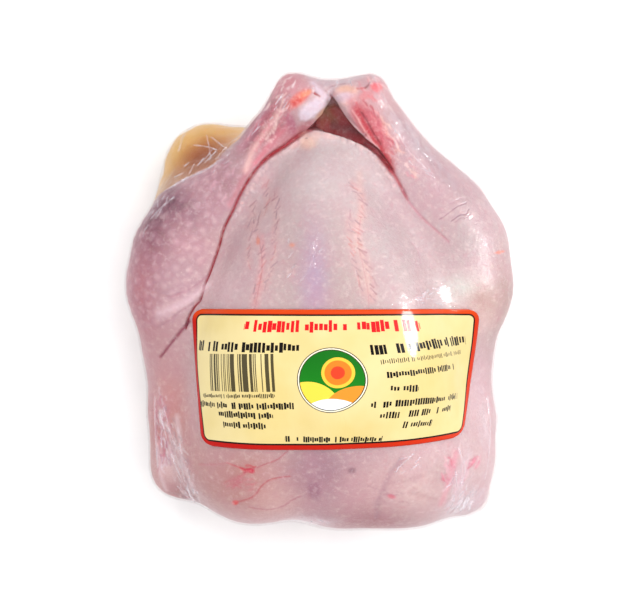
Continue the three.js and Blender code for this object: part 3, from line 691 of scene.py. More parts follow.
def stroke_share(flat, stroke, spread=1.0):
    """1 on the stroke's line, falling to 0 beside it."""
    line = curve_through(stroke.line)
    reach = max(stroke.width) * spread * 3
    near = np.all((flat > line.min(axis=0) - reach) & (flat < line.max(axis=0) + reach), axis=1)
    gap, share = along_line(flat[near], line)
    width = (stroke.width[0] + (stroke.width[1] - stroke.width[0]) * share) * spread
    drawn = np.zeros(len(flat))
    drawn[near] = np.exp(-((gap / width) ** 2))
    return drawn


def bar_distance(places, joints):
    """Distance of each place from a limb's surface."""
    nearest = np.full(len(places), np.inf)
    for start, end in zip(joints, joints[1:]):
        low, way = np.array(start[:3]), np.array(end[:3]) - start[:3]
        share = np.clip((places - low) @ way / (way @ way), 0, 1)
        gap = np.linalg.norm(places - low - share[:, None] * way, axis=1)
        nearest = np.minimum(nearest, gap - start[3] - (end[3] - start[3]) * share)
    return nearest


def waves(places, size, seed):
    """A smooth uneven field over space, about -1 to 1, whose hills are about size apart."""
    draw = np.random.default_rng(seed)
    ways = draw.normal(size=(9, 3))
    ways *= (2 * np.pi / size) * draw.uniform(0.7, 1.4, (9, 1)) / np.linalg.norm(ways, axis=1)[:, None]
    return np.sin(places @ ways.T + draw.uniform(0, 2 * np.pi, 9)).sum(axis=1) / 3


def skin_shade(colour):
    """A skin colour as it is painted: a little deeper than it looks, as film and wet coat lighten it."""
    return np.array(shade(*colour)) * PAINT_DEPTH


def store(mesh, name, kind, values):
    """Keeps values at the vertices as an attribute."""
    layer = mesh.attributes.new(name, kind, "POINT")
    if kind == "FLOAT_COLOR":
        values = np.column_stack([values, np.ones(len(values))])
        layer.data.foreach_set("color", values.astype(np.float32).ravel())
    else:
        layer.data.foreach_set("value", values.astype(np.float32))


# ---- Shader nodes ----
class Painter:
    """Adds nodes to one node tree and links them."""

    def __init__(self, tree):
        self.tree = tree

    def node(self, kind, inputs=None, **settings):
        made = self.tree.nodes.new(kind)
        for key, value in settings.items():
            setattr(made, key, value)
        for key, value in (inputs or {}).items():
            self.feed(made.inputs[key], value)
        return made

    def feed(self, socket, value):
        if isinstance(value, bpy.types.NodeSocket):
            self.tree.links.new(value, socket)
        elif socket.type == "RGBA" and len(value) == 3:
            socket.default_value = (*value, 1)
        else:
            socket.default_value = value

    def math(self, operation, *values, clamp=False):
        made = self.node("ShaderNodeMath", operation=operation, use_clamp=clamp)
        for socket, value in zip(made.inputs, values):
            self.feed(socket, value)
        return made.outputs[0]

    def plus(self, first, second, clamp=False):
        return self.math("ADD", first, second, clamp=clamp)

    def minus(self, first, second):
        return self.math("SUBTRACT", first, second)

    def times(self, first, second):
        return self.math("MULTIPLY", first, second)

    def less(self, first, second):
        return self.math("LESS_THAN", first, second)

    def distance(self, across, down):
        """How far a point is from the origin."""
        return self.math("SQRT", self.plus(self.times(across, across), self.times(down, down)))

    def blend(self, share, below, above):
        made = self.node("ShaderNodeMix", data_type="RGBA", blend_type="MIX", clamp_factor=True)
        for name, value in (("Factor_Float", share), ("A_Color", below), ("B_Color", above)):
            socket = next(s for s in made.inputs if s.identifier == name)
            self.feed(socket, value)
        return next(s for s in made.outputs if s.identifier == "Result_Color")

    def noise(self, vector, size, detail=3.0, rough=0.5):
        """An uneven field whose hills are about size metres apart."""
        return self.node("ShaderNodeTexNoise", {
            "Vector": vector, "Scale": 1 / size, "Detail": detail, "Roughness": rough}).outputs["Fac"]

    def spread(self, value, low, high, new_low=0.0, new_high=1.0):
        return self.node("ShaderNodeMapRange", {
            "Value": value, "From Min": low, "From Max": high, "To Min": new_low, "To Max": new_high},
            interpolation_type="SMOOTHSTEP").outputs["Result"]

    def bump(self, height, depth):
        return self.node("ShaderNodeBump", {
            "Height": height, "Distance": depth, "Strength": 1.0}).outputs["Normal"]

    def attribute(self, name):
        return self.node("ShaderNodeAttribute", attribute_name=name)

    def place(self):
        return self.node("ShaderNodeTexCoord").outputs["Object"]


def new_material(name):
    """An empty material, as (material, painter, output node)."""
    material = bpy.data.materials.new(name)
    material.use_nodes = True
    material.node_tree.nodes.clear()
    paint = Painter(material.node_tree)
    return material, paint, paint.node("ShaderNodeOutputMaterial")


def new_group(name, inputs, outputs):
    """An empty node group with named number sockets, as (group, painter, inputs, outputs)."""
    group = bpy.data.node_groups.new(name, "ShaderNodeTree")
    for socket in inputs:
        group.interface.new_socket(socket, in_out="INPUT", socket_type="NodeSocketFloat")
    for socket in outputs:
        group.interface.new_socket(socket, in_out="OUTPUT", socket_type="NodeSocketFloat")
    paint = Painter(group)
    return group, paint, paint.node("NodeGroupInput").outputs, paint.node("NodeGroupOutput").inputs


def place_group(paint, group, inputs):
    """Puts a node group into a tree and returns its outputs."""
    made = paint.node("ShaderNodeGroup", node_tree=group)
    for key, value in inputs.items():
        paint.feed(made.inputs[key], value)
    return made.outputs


# ---- The bird ----
def fill_bag(bird, film):
    """Draws the skin out to the film, apart from the hollow."""
    tree = BVHTree.FromObject(film, bpy.context.evaluated_depsgraph_get())
    mesh = bird.data
    places = places_of(mesh)
    flat = places[:, :2] / MM
    hollow = eased(depth_inside(flat, HOLLOW), *HOLLOW_MARGIN) * eased(places[:, 2] / MM, *HOLLOW_HEIGHTS)
    for n, place in enumerate(places):
        near, normal, _, gap = tree.find_nearest(place)
        share = (1 - hollow[n]) * eased(-gap / MM, *BRIDGED)
        places[n] += (np.array(near - normal * TIGHT_GAP * MM) - place) * share
    put_places(mesh, places)


def build_flesh(settings, film, strokes):
    """The bird's masses run together into one closed skin, finest where it is seen best."""
    parts = [add_mass(mass) for mass in BODY]
    for joints in LIMBS.values():
        parts += [add_ball(*joint) for joint in joints]
        parts += [add_shank(*pair) for pair in zip(joints, joints[1:])]
    parts += [add_ball(*end) for end in JOINT_ENDS]
    pick(*parts)
    bpy.ops.object.transform_apply(location=True, rotation=True, scale=True)
    bpy.ops.object.join()
    bird = bpy.context.object
    bird.name = bird.data.name = "chicken"
    for swell in SWELLING:
        apply_modifier(bird, "REMESH", mode="VOXEL", voxel_size=COARSE_STEP * MM)
        apply_modifier(bird, "DISPLACE", strength=swell * MM, mid_level=0)
    apply_modifier(bird, "REMESH", mode="VOXEL", voxel_size=settings.skin_step)
    apply_modifier(bird, "SMOOTH", factor=0.5, iterations=settings.softening)
    fill_bag(bird, film)
    flat, upper = seen_faces(bird, REFINED_LEAN, REFINED_HEIGHT)
    split_faces(bird, upper & ~np.all(np.abs(flat - UNDER_LABEL[0]) < UNDER_LABEL[1], axis=1))
    apply_modifier(bird, "SMOOTH", factor=0.5, iterations=3)

    # finer where something is drawn
    flat, upper = seen_faces(bird, 0, FINE_HEIGHT)
    near = near_lines(flat, [item.line for item in strokes if max(item.width) < BROAD_STROKE], STROKE_REACH)
    for spot in SPOTS:
        near |= in_patch(flat, spot) < SPOT_REACH
    near |= (np.abs(flat[:, 0] - HOLLOW_MIDDLE) < HOLLOW_HALF) & (flat[:, 1] > HOLLOW_START)
    split_faces(bird, near & upper)

    # and finest at the crease, the thinnest strokes and the lobes
    flat, upper = seen_faces(bird, 0, FINE_HEIGHT)
    near = near_lines(flat, [LEFT_CREASE.line], CREASE_REACH)
    near |= near_lines(flat, [item.line for item in STROKES if max(item.width) < THIN_STROKE], THIN_REACH)
    near |= near_lines(flat, [line for line, _ in LOBED_EDGES], LOBE_REACH)
    split_faces(bird, near & upper)
    return bird


def spread_seeds(places, wanted, spacing, seed):
    """Well spread places picked from those wanted, as a search tree."""
    order = np.random.default_rng(seed).permutation(np.flatnonzero(wanted))
    taken = {}
    kept = []
    for index in order:
        cell = tuple(np.floor(places[index] / spacing).astype(int))
        around = [taken.get((cell[0] + i, cell[1] + j, cell[2] + k))
                  for i in (-1, 0, 1) for j in (-1, 0, 1) for k in (-1, 0, 1)]
        if all(p is None or np.linalg.norm(places[p] - places[index]) > spacing for p in around):
            taken[cell] = index
            kept.append(index)
    tree = KDTree(len(kept))
    for n, index in enumerate(kept):
        tree.insert(places[index], n)
    tree.balance()
    return tree


def drawn_strokes():
    """Every stroke on the skin, with the rows of small wrinkles."""
    return STROKES + [tick for row in WRINKLE_ROWS for tick in wrinkle_ticks(*row)]


class Skin:
    """The skin's points in millimetres, with the colour and the lift that each is given."""

    def __init__(self, mesh):
        self.places, self.normals = places_of(mesh) / MM, outward(mesh)
        self.flat = self.places[:, :2]
        self.top = eased(self.normals[:, 2], *TOP_LEAN) * eased(self.places[:, 2], *TOP_HEIGHTS)
        self.colours = np.tile(skin_shade(BASE_COLOUR), (len(self.places), 1))
        self.lift = np.zeros(len(self.places))

    def paint(self, colour, share):
        """Lays a colour over the skin by a share of 0 to 1."""
        over = skin_shade(colour) - self.colours
        self.colours = self.colours + over * np.clip(share, 0, 1)[:, None]

    def patch(self, area, steepness=2):
        """1 in the middle of an area, falling to 0 around it."""
        return np.exp(-in_patch(self.flat, area) ** steepness)


def paint_areas(skin):
    """Soft colours by place, fainter on what lies low or faces down."""
    lowest = LOW_PAINT + LEG_PAINT_RISE * eased(skin.flat[:, 1], *LEG_PAINT_ENDS)
    upper = eased(skin.places[:, 2], lowest, lowest + PAINT_FADE)
    seen = LOW_SHARE + (1 - LOW_SHARE) * upper * eased(skin.normals[:, 2], *TOP_LEAN)
    for area in AREAS:
        skin.paint(area.colour, area.strength * seen * skin.patch(area))
    skin.paint(BACK_COLOUR, eased(-skin.normals[:, 2], 0.0, 0.7))


def raise_follicles(skin, settings, fat):
    """Follicles on the legs, each a small dome with a darker ring."""
    legs = np.minimum.reduce([bar_distance(skin.places, LIMBS[name]) for name in LEGS])
    wanted = (legs < FOLLICLE_REACH) & (skin.places[:, 2] > FOLLICLE_FLOOR)
    tree = spread_seeds(skin.places, wanted, settings.follicle_spacing / MM, FOLLICLE_SEED)
    away = np.array([tree.find(place)[2] for place in skin.places])
    left_side = eased(-skin.flat[:, 0], *LEFT_SIDE)
    lifts, domes, rings = (
        right + more * left_side for right, more in (FOLLICLE_LIFTS, FOLLICLE_SHARES, RING_SHARES))
    leg_share = eased(LEG_REACH - legs, 0, 2) * (1 - fat) * eased(LEG_END - skin.flat[:, 1], -4, 12)
    dome = np.exp(-((away / FOLLICLE_WIDTH) ** 2)) * leg_share * (0.7 + 0.4 * waves(skin.places, 7, 8))
    skin.lift += dome * settings.follicle_height / MM * lifts
    skin.paint(FOLLICLE_COLOUR, dome * domes)
    ring = np.exp(-(((away - RING_RADIUS) / RING_WIDTH) ** 2)) * leg_share
    skin.paint(RING_COLOUR, ring * rings)


def paint_tail(skin, fat):
    """The yellow fat of the tail, palest at its rim and painted darker towards the leg as shade."""
    rim = np.clip(np.linalg.norm(skin.flat - TAIL_FOOT, axis=1) / TAIL_RADII[0], 0, 1)
    skin.paint(TAIL_COLOUR, fat)
    skin.paint(TAIL_RIM_COLOUR, fat * eased(rim, 0.45, 0.95) * 0.85)
    for shadow in TAIL_SHADOWS:
        skin.paint(shadow.colour, fat * shadow.strength * skin.patch(shadow))
    skin.lift += fat * waves(skin.places, 9, 21) * TAIL_UNEVEN


def draw_marks(skin, strokes):
    """Creases, wrinkles, fibres, spots and the puckered edge of the breast."""
    for row in WRINKLE_ROWS:
        band = Stroke(row[0], ROW_WIDTH, ROW_COLOUR, ROW_STRENGTH, 0)
        skin.paint(band.colour, band.strength * skin.top * stroke_share(skin.flat, band))
    for stroke in strokes + scattered_fibres():
        skin.lift -= stroke.depth * stroke_share(skin.flat, stroke, DRAWN_SPREAD) * skin.top
        skin.paint(stroke.colour, stroke.strength * stroke_share(skin.flat, stroke) * skin.top)
    for spot in SPOTS:
        skin.paint(
            spot.colour, spot.strength * np.exp(-(in_patch(skin.flat, spot) * 0.9) ** 4) * skin.top)
    lobes = [lobe for edge in LOBED_EDGES for lobe in edge_lobes(*edge)]
    for bumps, rise in ((lobes, LOBE_RISE), (TIP_KNOBS, KNOB_RISE)):
        for bump in bumps:
            share = skin.patch(bump, 4) * skin.top
            skin.lift += share * rise
            skin.paint(bump.colour, share * bump.strength)


def sink_hollow(skin):
    """The hollow between the ankles and the web over it, both partly painted shade. Returns how far each
    point is sunk, 0 to 1.
    """
    along = np.clip((skin.flat[:, 0] - HOLLOW_SPAN[0]) / HOLLOW_SPAN[1], 0, 1)
    sunk = eased(depth_inside(skin.flat, HOLLOW), -0.4, 0.8) * skin.top
    skin.lift -= sunk * (HOLLOW_DEPTHS[0] - HOLLOW_DEPTHS[1] * along)
    # painted shade in part: the hollow's dark red
    skin.paint(HOLLOW_COLOURS[0], sunk)
    skin.paint(HOLLOW_COLOURS[1], sunk * along)
    skin.paint(OLIVE_PATCH.colour, sunk * skin.patch(OLIVE_PATCH) * OLIVE_PATCH.strength)
    # painted shade: the cavity's shade seen through the web
    skin.paint(WEB_SHADE_COLOUR, eased(depth_inside(skin.flat, WEB), -0.6, 1.4) * skin.top * 0.9)
    return sunk


def draw_joint_ends(skin):
    """The open ends of the joints and the meat beside the hollow."""
    for outline, colour in CARTILAGES:
        share = eased(depth_inside(skin.flat, outline), -0.9, 1.3) * skin.top
        skin.lift += share * CARTILAGE_RISE
        skin.paint(colour, share * 0.95)
    for mark in JOINT_MARKS:
        skin.paint(mark.colour, mark.strength * skin.patch(mark, 4) * skin.top)
    for stroke in JOINT_STROKES:
        share = stroke_share(skin.flat, stroke) * skin.top
        skin.lift -= stroke.depth * share
        skin.paint(stroke.colour, stroke.strength * share)


def carve_flesh(bird, settings, strokes):
    """Presses the creases, the hollow and the follicles into the skin and paints it."""
    skin = Skin(bird.data)
    round_tail = np.linalg.norm((skin.places - TAIL_MIDDLE) / TAIL_RADII, axis=1)
    fat = eased(depth_inside(skin.flat, TAIL), -0.5, 1.0) * eased(1 - round_tail, -0.05, 0.1)
    paint_areas(skin)
    raise_follicles(skin, settings, fat)
    paint_tail(skin, fat)
    draw_marks(skin, strokes)
    sunk = sink_hollow(skin)
    draw_joint_ends(skin)
    put_places(bird.data, (skin.places + skin.normals * skin.lift[:, None]) * MM)
    store(bird.data, "skin_colour", "FLOAT_COLOR", skin.colours)
    store(bird.data, "plain", "FLOAT", np.maximum(fat, 0.7 * sunk))
    store(bird.data, "slack", "FLOAT", skin.patch(SLACK, 4))


def tuck_inside(bird, film, clearance):
    """Keeps every point of the skin inside the film."""
    tree = BVHTree.FromObject(film, bpy.context.evaluated_depsgraph_get())
    mesh = bird.data
    places = places_of(mesh)
    for n, place in enumerate(places):
        near, normal, _, _ = tree.find_nearest(place)
        if (Vector(place) - near).dot(normal) > -clearance:
            places[n] = near - normal * clearance
    places[:, 2] = np.maximum(places[:, 2], clearance)
    put_places(mesh, places)


def thin_skin(bird):
    """Thins the skin, most where nothing is drawn on it."""
    mesh = bird.data
    colours = np.empty(len(mesh.vertices) * 4, np.float32)
    mesh.attributes["skin_colour"].data.foreach_get("color", colours)
    colours = colours.reshape(-1, 4)
    ends = np.empty(len(mesh.edges) * 2, np.int32)
    mesh.edges.foreach_get("vertices", ends)
    ends = ends.reshape(-1, 2)
    steps = np.abs(colours[ends[:, 0]] - colours[ends[:, 1]]).max(axis=1)
    drawn = np.zeros(len(mesh.vertices))
    for side in ends.T:
        np.maximum.at(drawn, side, steps)
    levels = np.ceil(np.clip(drawn / PLAIN_STEP - 1, 0, PLAIN_LEVELS - 1)).astype(int)
    thinned = bird.vertex_groups.new(name="thinned")
    for level in range(PLAIN_LEVELS):
        thinned.add(np.flatnonzero(levels == level).tolist(), 1 - level / PLAIN_LEVELS, "REPLACE")
    faces = sum(len(face.vertices) - 2 for face in mesh.polygons)
    apply_modifier(bird, "DECIMATE", ratio=min(1.0, MOST_FACES / faces), vertex_group="thinned",
                   vertex_group_factor=1.0)
    bird.vertex_groups.clear()


# Layers of mottling: size in metres, detail, roughness, low and high values of the noise between which it
# sets in, strength and colour.
MOTTLING = [
    (0.011, 4, 0.5, 0.35, 0.68, 0.18, (196, 140, 156)),
    (0.0035, 5, 0.6, 0.5, 0.75, 0.2, (240, 222, 216)),
    (0.0048, 6, 0.7, 0.56, 0.7, 0.16, (206, 120, 136)),
    (0.0016, 4, 0.65, 0.38, 0.64, 0.13, (178, 108, 122)),
    (0.0022, 4, 0.65, 0.52, 0.72, 0.2, (246, 226, 226)),
]


def skin_material(settings):
    """Damp skin: the drawn colours, mottled, under a thin wet coat."""
    material, paint, output = new_material("raw skin")
    place = paint.place()
    colour = paint.attribute("skin_colour").outputs["Color"]
    flesh = paint.minus(1.0, paint.times(paint.attribute("plain").outputs["Fac"], 0.85))
    for size, detail, rough, low, high, strength, tone in MOTTLING:
        share = paint.spread(paint.noise(place, size, detail, rough), low, high)
        colour = paint.blend(paint.times(paint.times(share, flesh), strength), colour, shade(*tone))
    fine = paint.noise(place, 0.0009, 3, 0.6)
    normal = paint.bump(paint.plus(paint.times(fine, 0.7), paint.noise(place, 0.0035, 4, 0.6)), 0.00035)
    rough = paint.spread(paint.noise(place, 0.006, 3), 0.3, 0.7, 0.36, 0.5)
    wet = paint.minus(1.0, paint.times(paint.attribute("slack").outputs["Fac"], 0.92))
    skin = paint.node("ShaderNodeBsdfPrincipled", {
        "Base Color": colour, "Roughness": rough, "Normal": normal, "Specular IOR Level": 0.25,
        "Subsurface Weight": 0.2, "Subsurface Radius": (1.0, 0.4, 0.3), "Subsurface Scale": 0.0012,
        "Coat Weight": paint.times(wet, settings.wetness), "Coat Roughness": 0.14})
    paint.feed(output.inputs["Surface"], skin.outputs[0])
    return material


class CHICKEN_OT_bird(bpy.types.Operator):
    """Model and paint the raw bird inside the film"""
    bl_idname = "chicken.bird"
    bl_label = "Raw Bird"

    def execute(self, context):
        settings = context.scene.chicken
        strokes = drawn_strokes()
        bird = build_flesh(settings.bird, bpy.data.objects["film"], strokes)
        carve_flesh(bird, settings.bird, strokes)
        tuck_inside(bird, bpy.data.objects["film"], settings.film.clearance)
        thin_skin(bird)
        finish_piece(bird, skin_material(settings.bird), "skin", BAG_NODE)
        return {"FINISHED"}


# ---- The film ----
# A pull is a fold in the film: its points, half width, height and how milky it is, a milkiness that on the
# short folds partly stands in for glints as painted highlight.
Pull = namedtuple("Pull", "line width height milk")
PULLS = [
    # over the tail
    Pull([(-48.7, 72.7), (-47.6, 68), (-46.5, 62.8)], 0.26, 0.22, 0.4),
    Pull([(-53.9, 68.4), (-48, 67.4), (-44, 65.8)], 0.25, 0.2, 0.5),
    Pull([(-46.5, 71.8), (-42, 68), (-38.8, 65.3)], 0.3, 0.25, 0.5),
    Pull([(-51.8, 58.9), (-48, 63), (-45.7, 66.6)], 0.25, 0.2, 0.45),
    Pull([(-63.1, 49.1), (-56.6, 53), (-49, 56), (-43.4, 59.4)], 0.4, 0.3, 0.45),
    Pull([(-42, 63.5), (-37, 70), (-32, 75)], 0.4, 0.2, 0.35),
    Pull([(-61, 66), (-58.6, 74), (-54, 79.5)], 0.4, 0.2, 0.3),
    # along the legs
    Pull([(-61, 45), (-66, 41), (-71, 36)], 0.35, 0.3, 0.35),
    Pull([(-20, 90), (-24, 80), (-30, 70)], 0.4, 0.25, 0.2),
    Pull([(22, 95), (30, 80), (42, 64), (54, 50)], 0.4, 0.3, 0.25),
    Pull([(26.4, 80), (33, 70), (38, 63), (44, 57)], 0.3, 0.25, 0.3),
    # over the folded wings
    Pull([(-68, -46), (-65.6, -55.9), (-60, -71), (-53.1, -84.9)], 0.4, 0.35, 0.55),
    Pull([(-70.6, -40), (-70.4, -54), (-69.4, -70)], 0.35, 0.3, 0.4),
    Pull([(-66.5, -44), (-63.6, -54), (-60.6, -62)], 0.3, 0.25, 0.4),
    Pull([(-60.4, -78), (-55, -83.6), (-47, -88)], 0.35, 0.25, 0.5),
    Pull([(54, -88), (57.4, -80), (56.6, -70)], 0.4, 0.35, 0.5),
    Pull([(56, -89), (61, -83), (69, -79)], 0.35, 0.3, 0.4),
    Pull([(60, -90), (63, -84), (61.4, -76)], 0.3, 0.25, 0.4),
    Pull([(58, -60), (60.6, -70), (57, -80)], 0.5, 0.3, 0.35),
    Pull([(72, -40), (73, -56), (70.6, -74)], 0.4, 0.3, 0.3),
]
SLACK = Area(73, 14, 14, 26)  # where the film lies slack and shines less
FILM_SMOOTHING = 11
FOLD_REACHES = (2.2, 1.2, 0.5)  # how far beside a fold the film is split, once for each
FILM_OUT = 0.0006  # how far the film stands off the frame's solid, in metres
FILM_FLOOR = 0.0002  # its least height over the table
MILKY = [
    Area(-3, -91.5, 9, 2.5, strength=0.4),
    Area(62, -85, 8, 5, 20, strength=0.55),
    Area(58.5, -76, 3, 13, -14, strength=0.42),
    Area(70, -52, 2.6, 22, 4, strength=0.2),
    Area(-61, -64, 3, 24, 18, strength=0.22),
    Area(-36, 71, 4, 3, 40, strength=0.12),
    Area(40, 68, 26, 3, -48, strength=0.3),
    Area(-56, -76, 10, 3, -50, strength=0.2),
]
# Scattered short folds, whose milkiness is partly painted highlight for the film's glints: the area, how
# many, their lean in degrees and a seed.
FLECK_STRAY, FLECK_LONGEST = 18, 2.4
FLECK_WIDTHS, FLECK_HEIGHTS, FLECK_MILK_AND_GLINT = (0.18, 0.28), (0.12, 0.3), (0.25, 0.6)
FLECKS = [
    (Area(-61, -66, 5, 22, 22), 40, 112, 31),
    (Area(-50, 58, 13, 5, 22), 16, 52, 32),
    (Area(-70, 38, 3, 12, -30), 10, 58, 33),
    (Area(33, -66, 8, 4, 15), 9, 35, 34),
    (Area(60, -80, 8, 9), 14, 50, 35),
    (Area(40, 62, 17, 4, -48), 12, -35, 36),
    (Area(-20, 80, 8, 10, -30), 8, 60, 37),
    (Area(-6, 14, 9, 22), 8, 50, 38),
    (Area(49, 3, 9, 4), 22, 12, 39),
    (Area(5, 91, 12, 4), 7, 80, 40),
]


def drawn_pulls():
    """Every fold in the film, with the scattered short ones."""
    pulls = list(PULLS)
    for area, count, lean, seed in FLECKS:
        draw = np.random.default_rng(seed)
        for middle, half in strewn(area, count, lean, FLECK_STRAY, FLECK_LONGEST, draw):
            pulls.append(Pull([tuple(middle - half), tuple(middle + half)], draw.uniform(*FLECK_WIDTHS),
                              draw.uniform(*FLECK_HEIGHTS), draw.uniform(*FLECK_MILK_AND_GLINT)))
    return pulls


def build_film(settings):
    """The clear bag: the frame's own form, smoothed, with folds drawn in it."""
    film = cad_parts[BAG_NODE].copy()
    film.data = film.data.copy()
    film.parent = None
    for key in list(film.keys()):
        del film[key]
    bpy.context.scene.collection.objects.link(film)
    film.name = film.data.name = "film"
    pick(film)
    bpy.ops.object.mode_set(mode="EDIT")
    bpy.ops.mesh.select_all(action="SELECT")
    bpy.ops.mesh.remove_doubles(threshold=0.00001)
    bpy.ops.object.mode_set(mode="OBJECT")
    apply_modifier(film, "REMESH", mode="VOXEL", voxel_size=settings.step)
    apply_modifier(film, "SMOOTH", factor=0.5, iterations=FILM_SMOOTHING)
    pulls = drawn_pulls()
    for reach in FOLD_REACHES:
        flat, upper = seen_faces(film, -0.1)
        split_faces(film, near_lines(flat, [pull.line for pull in pulls], reach) & upper)
    mesh = film.data
    places = places_of(mesh)
    normals = outward(mesh)
    places += normals * FILM_OUT
    flat = places[:, :2] / MM
    top = eased(normals[:, 2], 0, 0.3)
    milk = np.zeros(len(places))
    for pull in pulls:
        gap, _ = along_line(flat, curve_through(pull.line))
        share = np.exp(-((gap / pull.width) ** 2)) * top
        places += normals * (share * pull.height * MM)[:, None]
        milk = np.maximum(milk, share * pull.milk)
    for area in MILKY:
        milk = np.maximum(milk, area.strength * np.exp(-in_patch(flat, area) ** 2) * top)
    places[:, 2] = np.maximum(places[:, 2], FILM_FLOOR)
    put_places(mesh, places)
    store(mesh, "milk", "FLOAT", milk)
    store(mesh, "slack", "FLOAT", np.exp(-in_patch(flat, SLACK) ** 4))
    return film


def film_material(settings):
    """Clear wet film, milky where it is folded, that milkiness partly a painted highlight for glints, shining
    less where it lies slack.
    """
    material, paint, output = new_material("clear film")
    place = paint.place()
    stretch = paint.node("ShaderNodeMapping", {"Vector": place, "Scale": (1.0, 0.35, 1.0)}).outputs[0]
    crinkle = paint.noise(stretch, 0.0045, 4, 0.6)
    facets = paint.node("ShaderNodeTexVoronoi", {
        "Vector": stretch, "Scale": 240.0}, feature="F1").outputs["Distance"]
    height = paint.plus(crinkle, paint.times(facets, 0.35))
    normal = paint.bump(paint.plus(height, paint.noise(place, 0.0016, 2)), 0.00017)
    uneven = paint.spread(paint.noise(stretch, 0.003, 5, 0.65), 0.4, 0.7, 0.45, 1.25)
    milk = paint.times(paint.attribute("milk").outputs["Fac"], uneven)
    facing = paint.node("ShaderNodeLayerWeight", {"Blend": 0.5, "Normal": normal}).outputs["Facing"]
    edge = paint.times(paint.math("POWER", facing, 5.0), 0.12)
    share = paint.plus(paint.plus(milk, edge), 0.004, clamp=True)
    haze = paint.node("ShaderNodeBsdfPrincipled", {
        "Base Color": tuple(settings.tint), "Roughness": 0.2, "Normal": normal, "IOR": 1.5})
    clear = paint.node("ShaderNodeBsdfTransparent", {"Color": (1, 1, 1)})
    body = paint.node("ShaderNodeMixShader", {0: share, 1: clear.outputs[0], 2: haze.outputs[0]})
    gloss = paint.node("ShaderNodeBsdfGlossy", {"Color": (1, 1, 1), "Roughness": 0.09, "Normal": normal})
    tight = paint.minus(0.5, paint.times(paint.attribute("slack").outputs["Fac"], 0.47))
    mirror = paint.times(paint.node("ShaderNodeFresnel", {"IOR": 1.4, "Normal": normal}).outputs[0], tight)
    mix = paint.node("ShaderNodeMixShader", {0: mirror, 1: body.outputs[0], 2: gloss.outputs[0]})
    paint.feed(output.inputs["Surface"], mix.outputs[0])
    return material


class CHICKEN_OT_film(bpy.types.Operator):
    """Model the clear bag drawn tight over the bird"""
    bl_idname = "chicken.film"
    bl_label = "Clear Film"

    def execute(self, context):
        settings = context.scene.chicken.film
        film = build_film(settings)
        finish_piece(film, film_material(settings), "film", BAG_NODE)
        return {"FINISHED"}


# ---- The label ----
LABEL_TAPER = 17.5
LABEL_CENTRE_X = 7.1
LABEL_LEFT = (-53.4, -48.6)  # where the left end lies, on the upper and on the lower edge
LABEL_RIGHT = (67, 59.6)
LABEL_BULGE = 1.3  # of the right end, half way down
LABEL_REACH = 60  # how far out its lower edge has risen by the smile
LABEL_TOP_Y = -2
LABEL_SMILE = 2.7
LABEL_SKEW = 1.8
LABEL_CORNER = 5
LABEL_LIFT = 0.55  # above the film
LABEL_THICKNESS = 0.15
LABEL_COLUMNS = 160
LABEL_ROWS = 66
ROW_POINTS = 240  # where the film is felt for along a row
BLOCK_INPUTS = ["Across", "Down", "Middle Across", "Middle Down", "Length", "Height", "Tilt"]
MARK_PITCH = 0.36  # of a row's height, from mark to mark
WORD_GAPS = 0.14  # share of the marks that is left out


def label_row(tree, share, height, inset):
    """The film under one row of the label, from end to end: each point's place and normal, and its run.

    The share is how far down the label the row lies. The last result is the run at the label's middle.
    """
    left, right = (ends[0] + (ends[1] - ends[0]) * share for ends in (LABEL_LEFT, LABEL_RIGHT))
    right += 4 * share * (1 - share) * LABEL_BULGE
    xs = np.linspace(left + inset, right - inset, ROW_POINTS)
    out = (xs - LABEL_CENTRE_X) / LABEL_REACH
    ys = LABEL_TOP_Y - share * height + share * (LABEL_SMILE * out**2 + LABEL_SKEW * out)
    row = []
    for x, y in zip(xs, ys):
        near, normal, _, _ = tree.ray_cast(Vector((x * MM, y * MM, 1)), Vector((0, 0, -1)))
        row.append((*(near / MM), *normal))
    row = np.array(row)
    steps = runs(row[:, :3])
    return row, steps, np.interp(LABEL_CENTRE_X, xs, steps)


def build_label(settings, film):
    """A fine sheet laid on the film, with a flat map of itself as its UV."""
    tree = BVHTree.FromObject(film, bpy.context.evaluated_depsgraph_get())
    length, height = settings.length / MM, settings.height / MM
    bpy.ops.object.select_all(action="DESELECT")
    bpy.ops.mesh.primitive_grid_add(
        x_subdivisions=LABEL_COLUMNS, y_subdivisions=LABEL_ROWS, size=1, calc_uvs=True)
    label = bpy.context.object
    label.name = label.data.name = "printed_label"
    mesh = label.data
    grid = places_of(mesh)
    across, down = grid[:, 0] * 2, 0.5 - grid[:, 1]
    rows = {}
    for n, share in enumerate(down):
        rows.setdefault(round(share, 6), []).append(n)
    places = np.zeros((len(grid), 3))
    flats = np.zeros((len(grid), 2))
    for share, members in rows.items():
        inset = 0.0
        for edge in (share * height, height - share * height):
            if edge < LABEL_CORNER:
                inset = LABEL_CORNER - math.sqrt(max(LABEL_CORNER**2 - (LABEL_CORNER - edge) ** 2, 0))
        row, steps, middle = label_row(tree, share, height, inset)
        aside = across[members]
        wanted = middle + aside * np.where(aside > 0, steps[-1] - middle, middle)
        at = np.array([np.interp(wanted, steps, row[:, k]) for k in range(6)]).T
        places[members] = (
            at[:, :3] + at[:, 3:] / np.linalg.norm(at[:, 3:], axis=1)[:, None] * LABEL_LIFT)
        half = (length - LABEL_TAPER * share) / 2 - inset
        flats[members] = np.column_stack([0.5 + aside * half / length, np.full(len(members), 1 - share)])
    put_places(mesh, places * MM)
    corners = np.empty(len(mesh.loops), np.int32)
    mesh.loops.foreach_get("vertex_index", corners)
    mesh.uv_layers.active.data.foreach_set("uv", flats[corners].astype(np.float32).ravel())
    apply_modifier(label, "SMOOTH", factor=0.4, iterations=2)
    apply_modifier(label, "SOLIDIFY", thickness=LABEL_THICKNESS * MM, offset=-1)
    return label


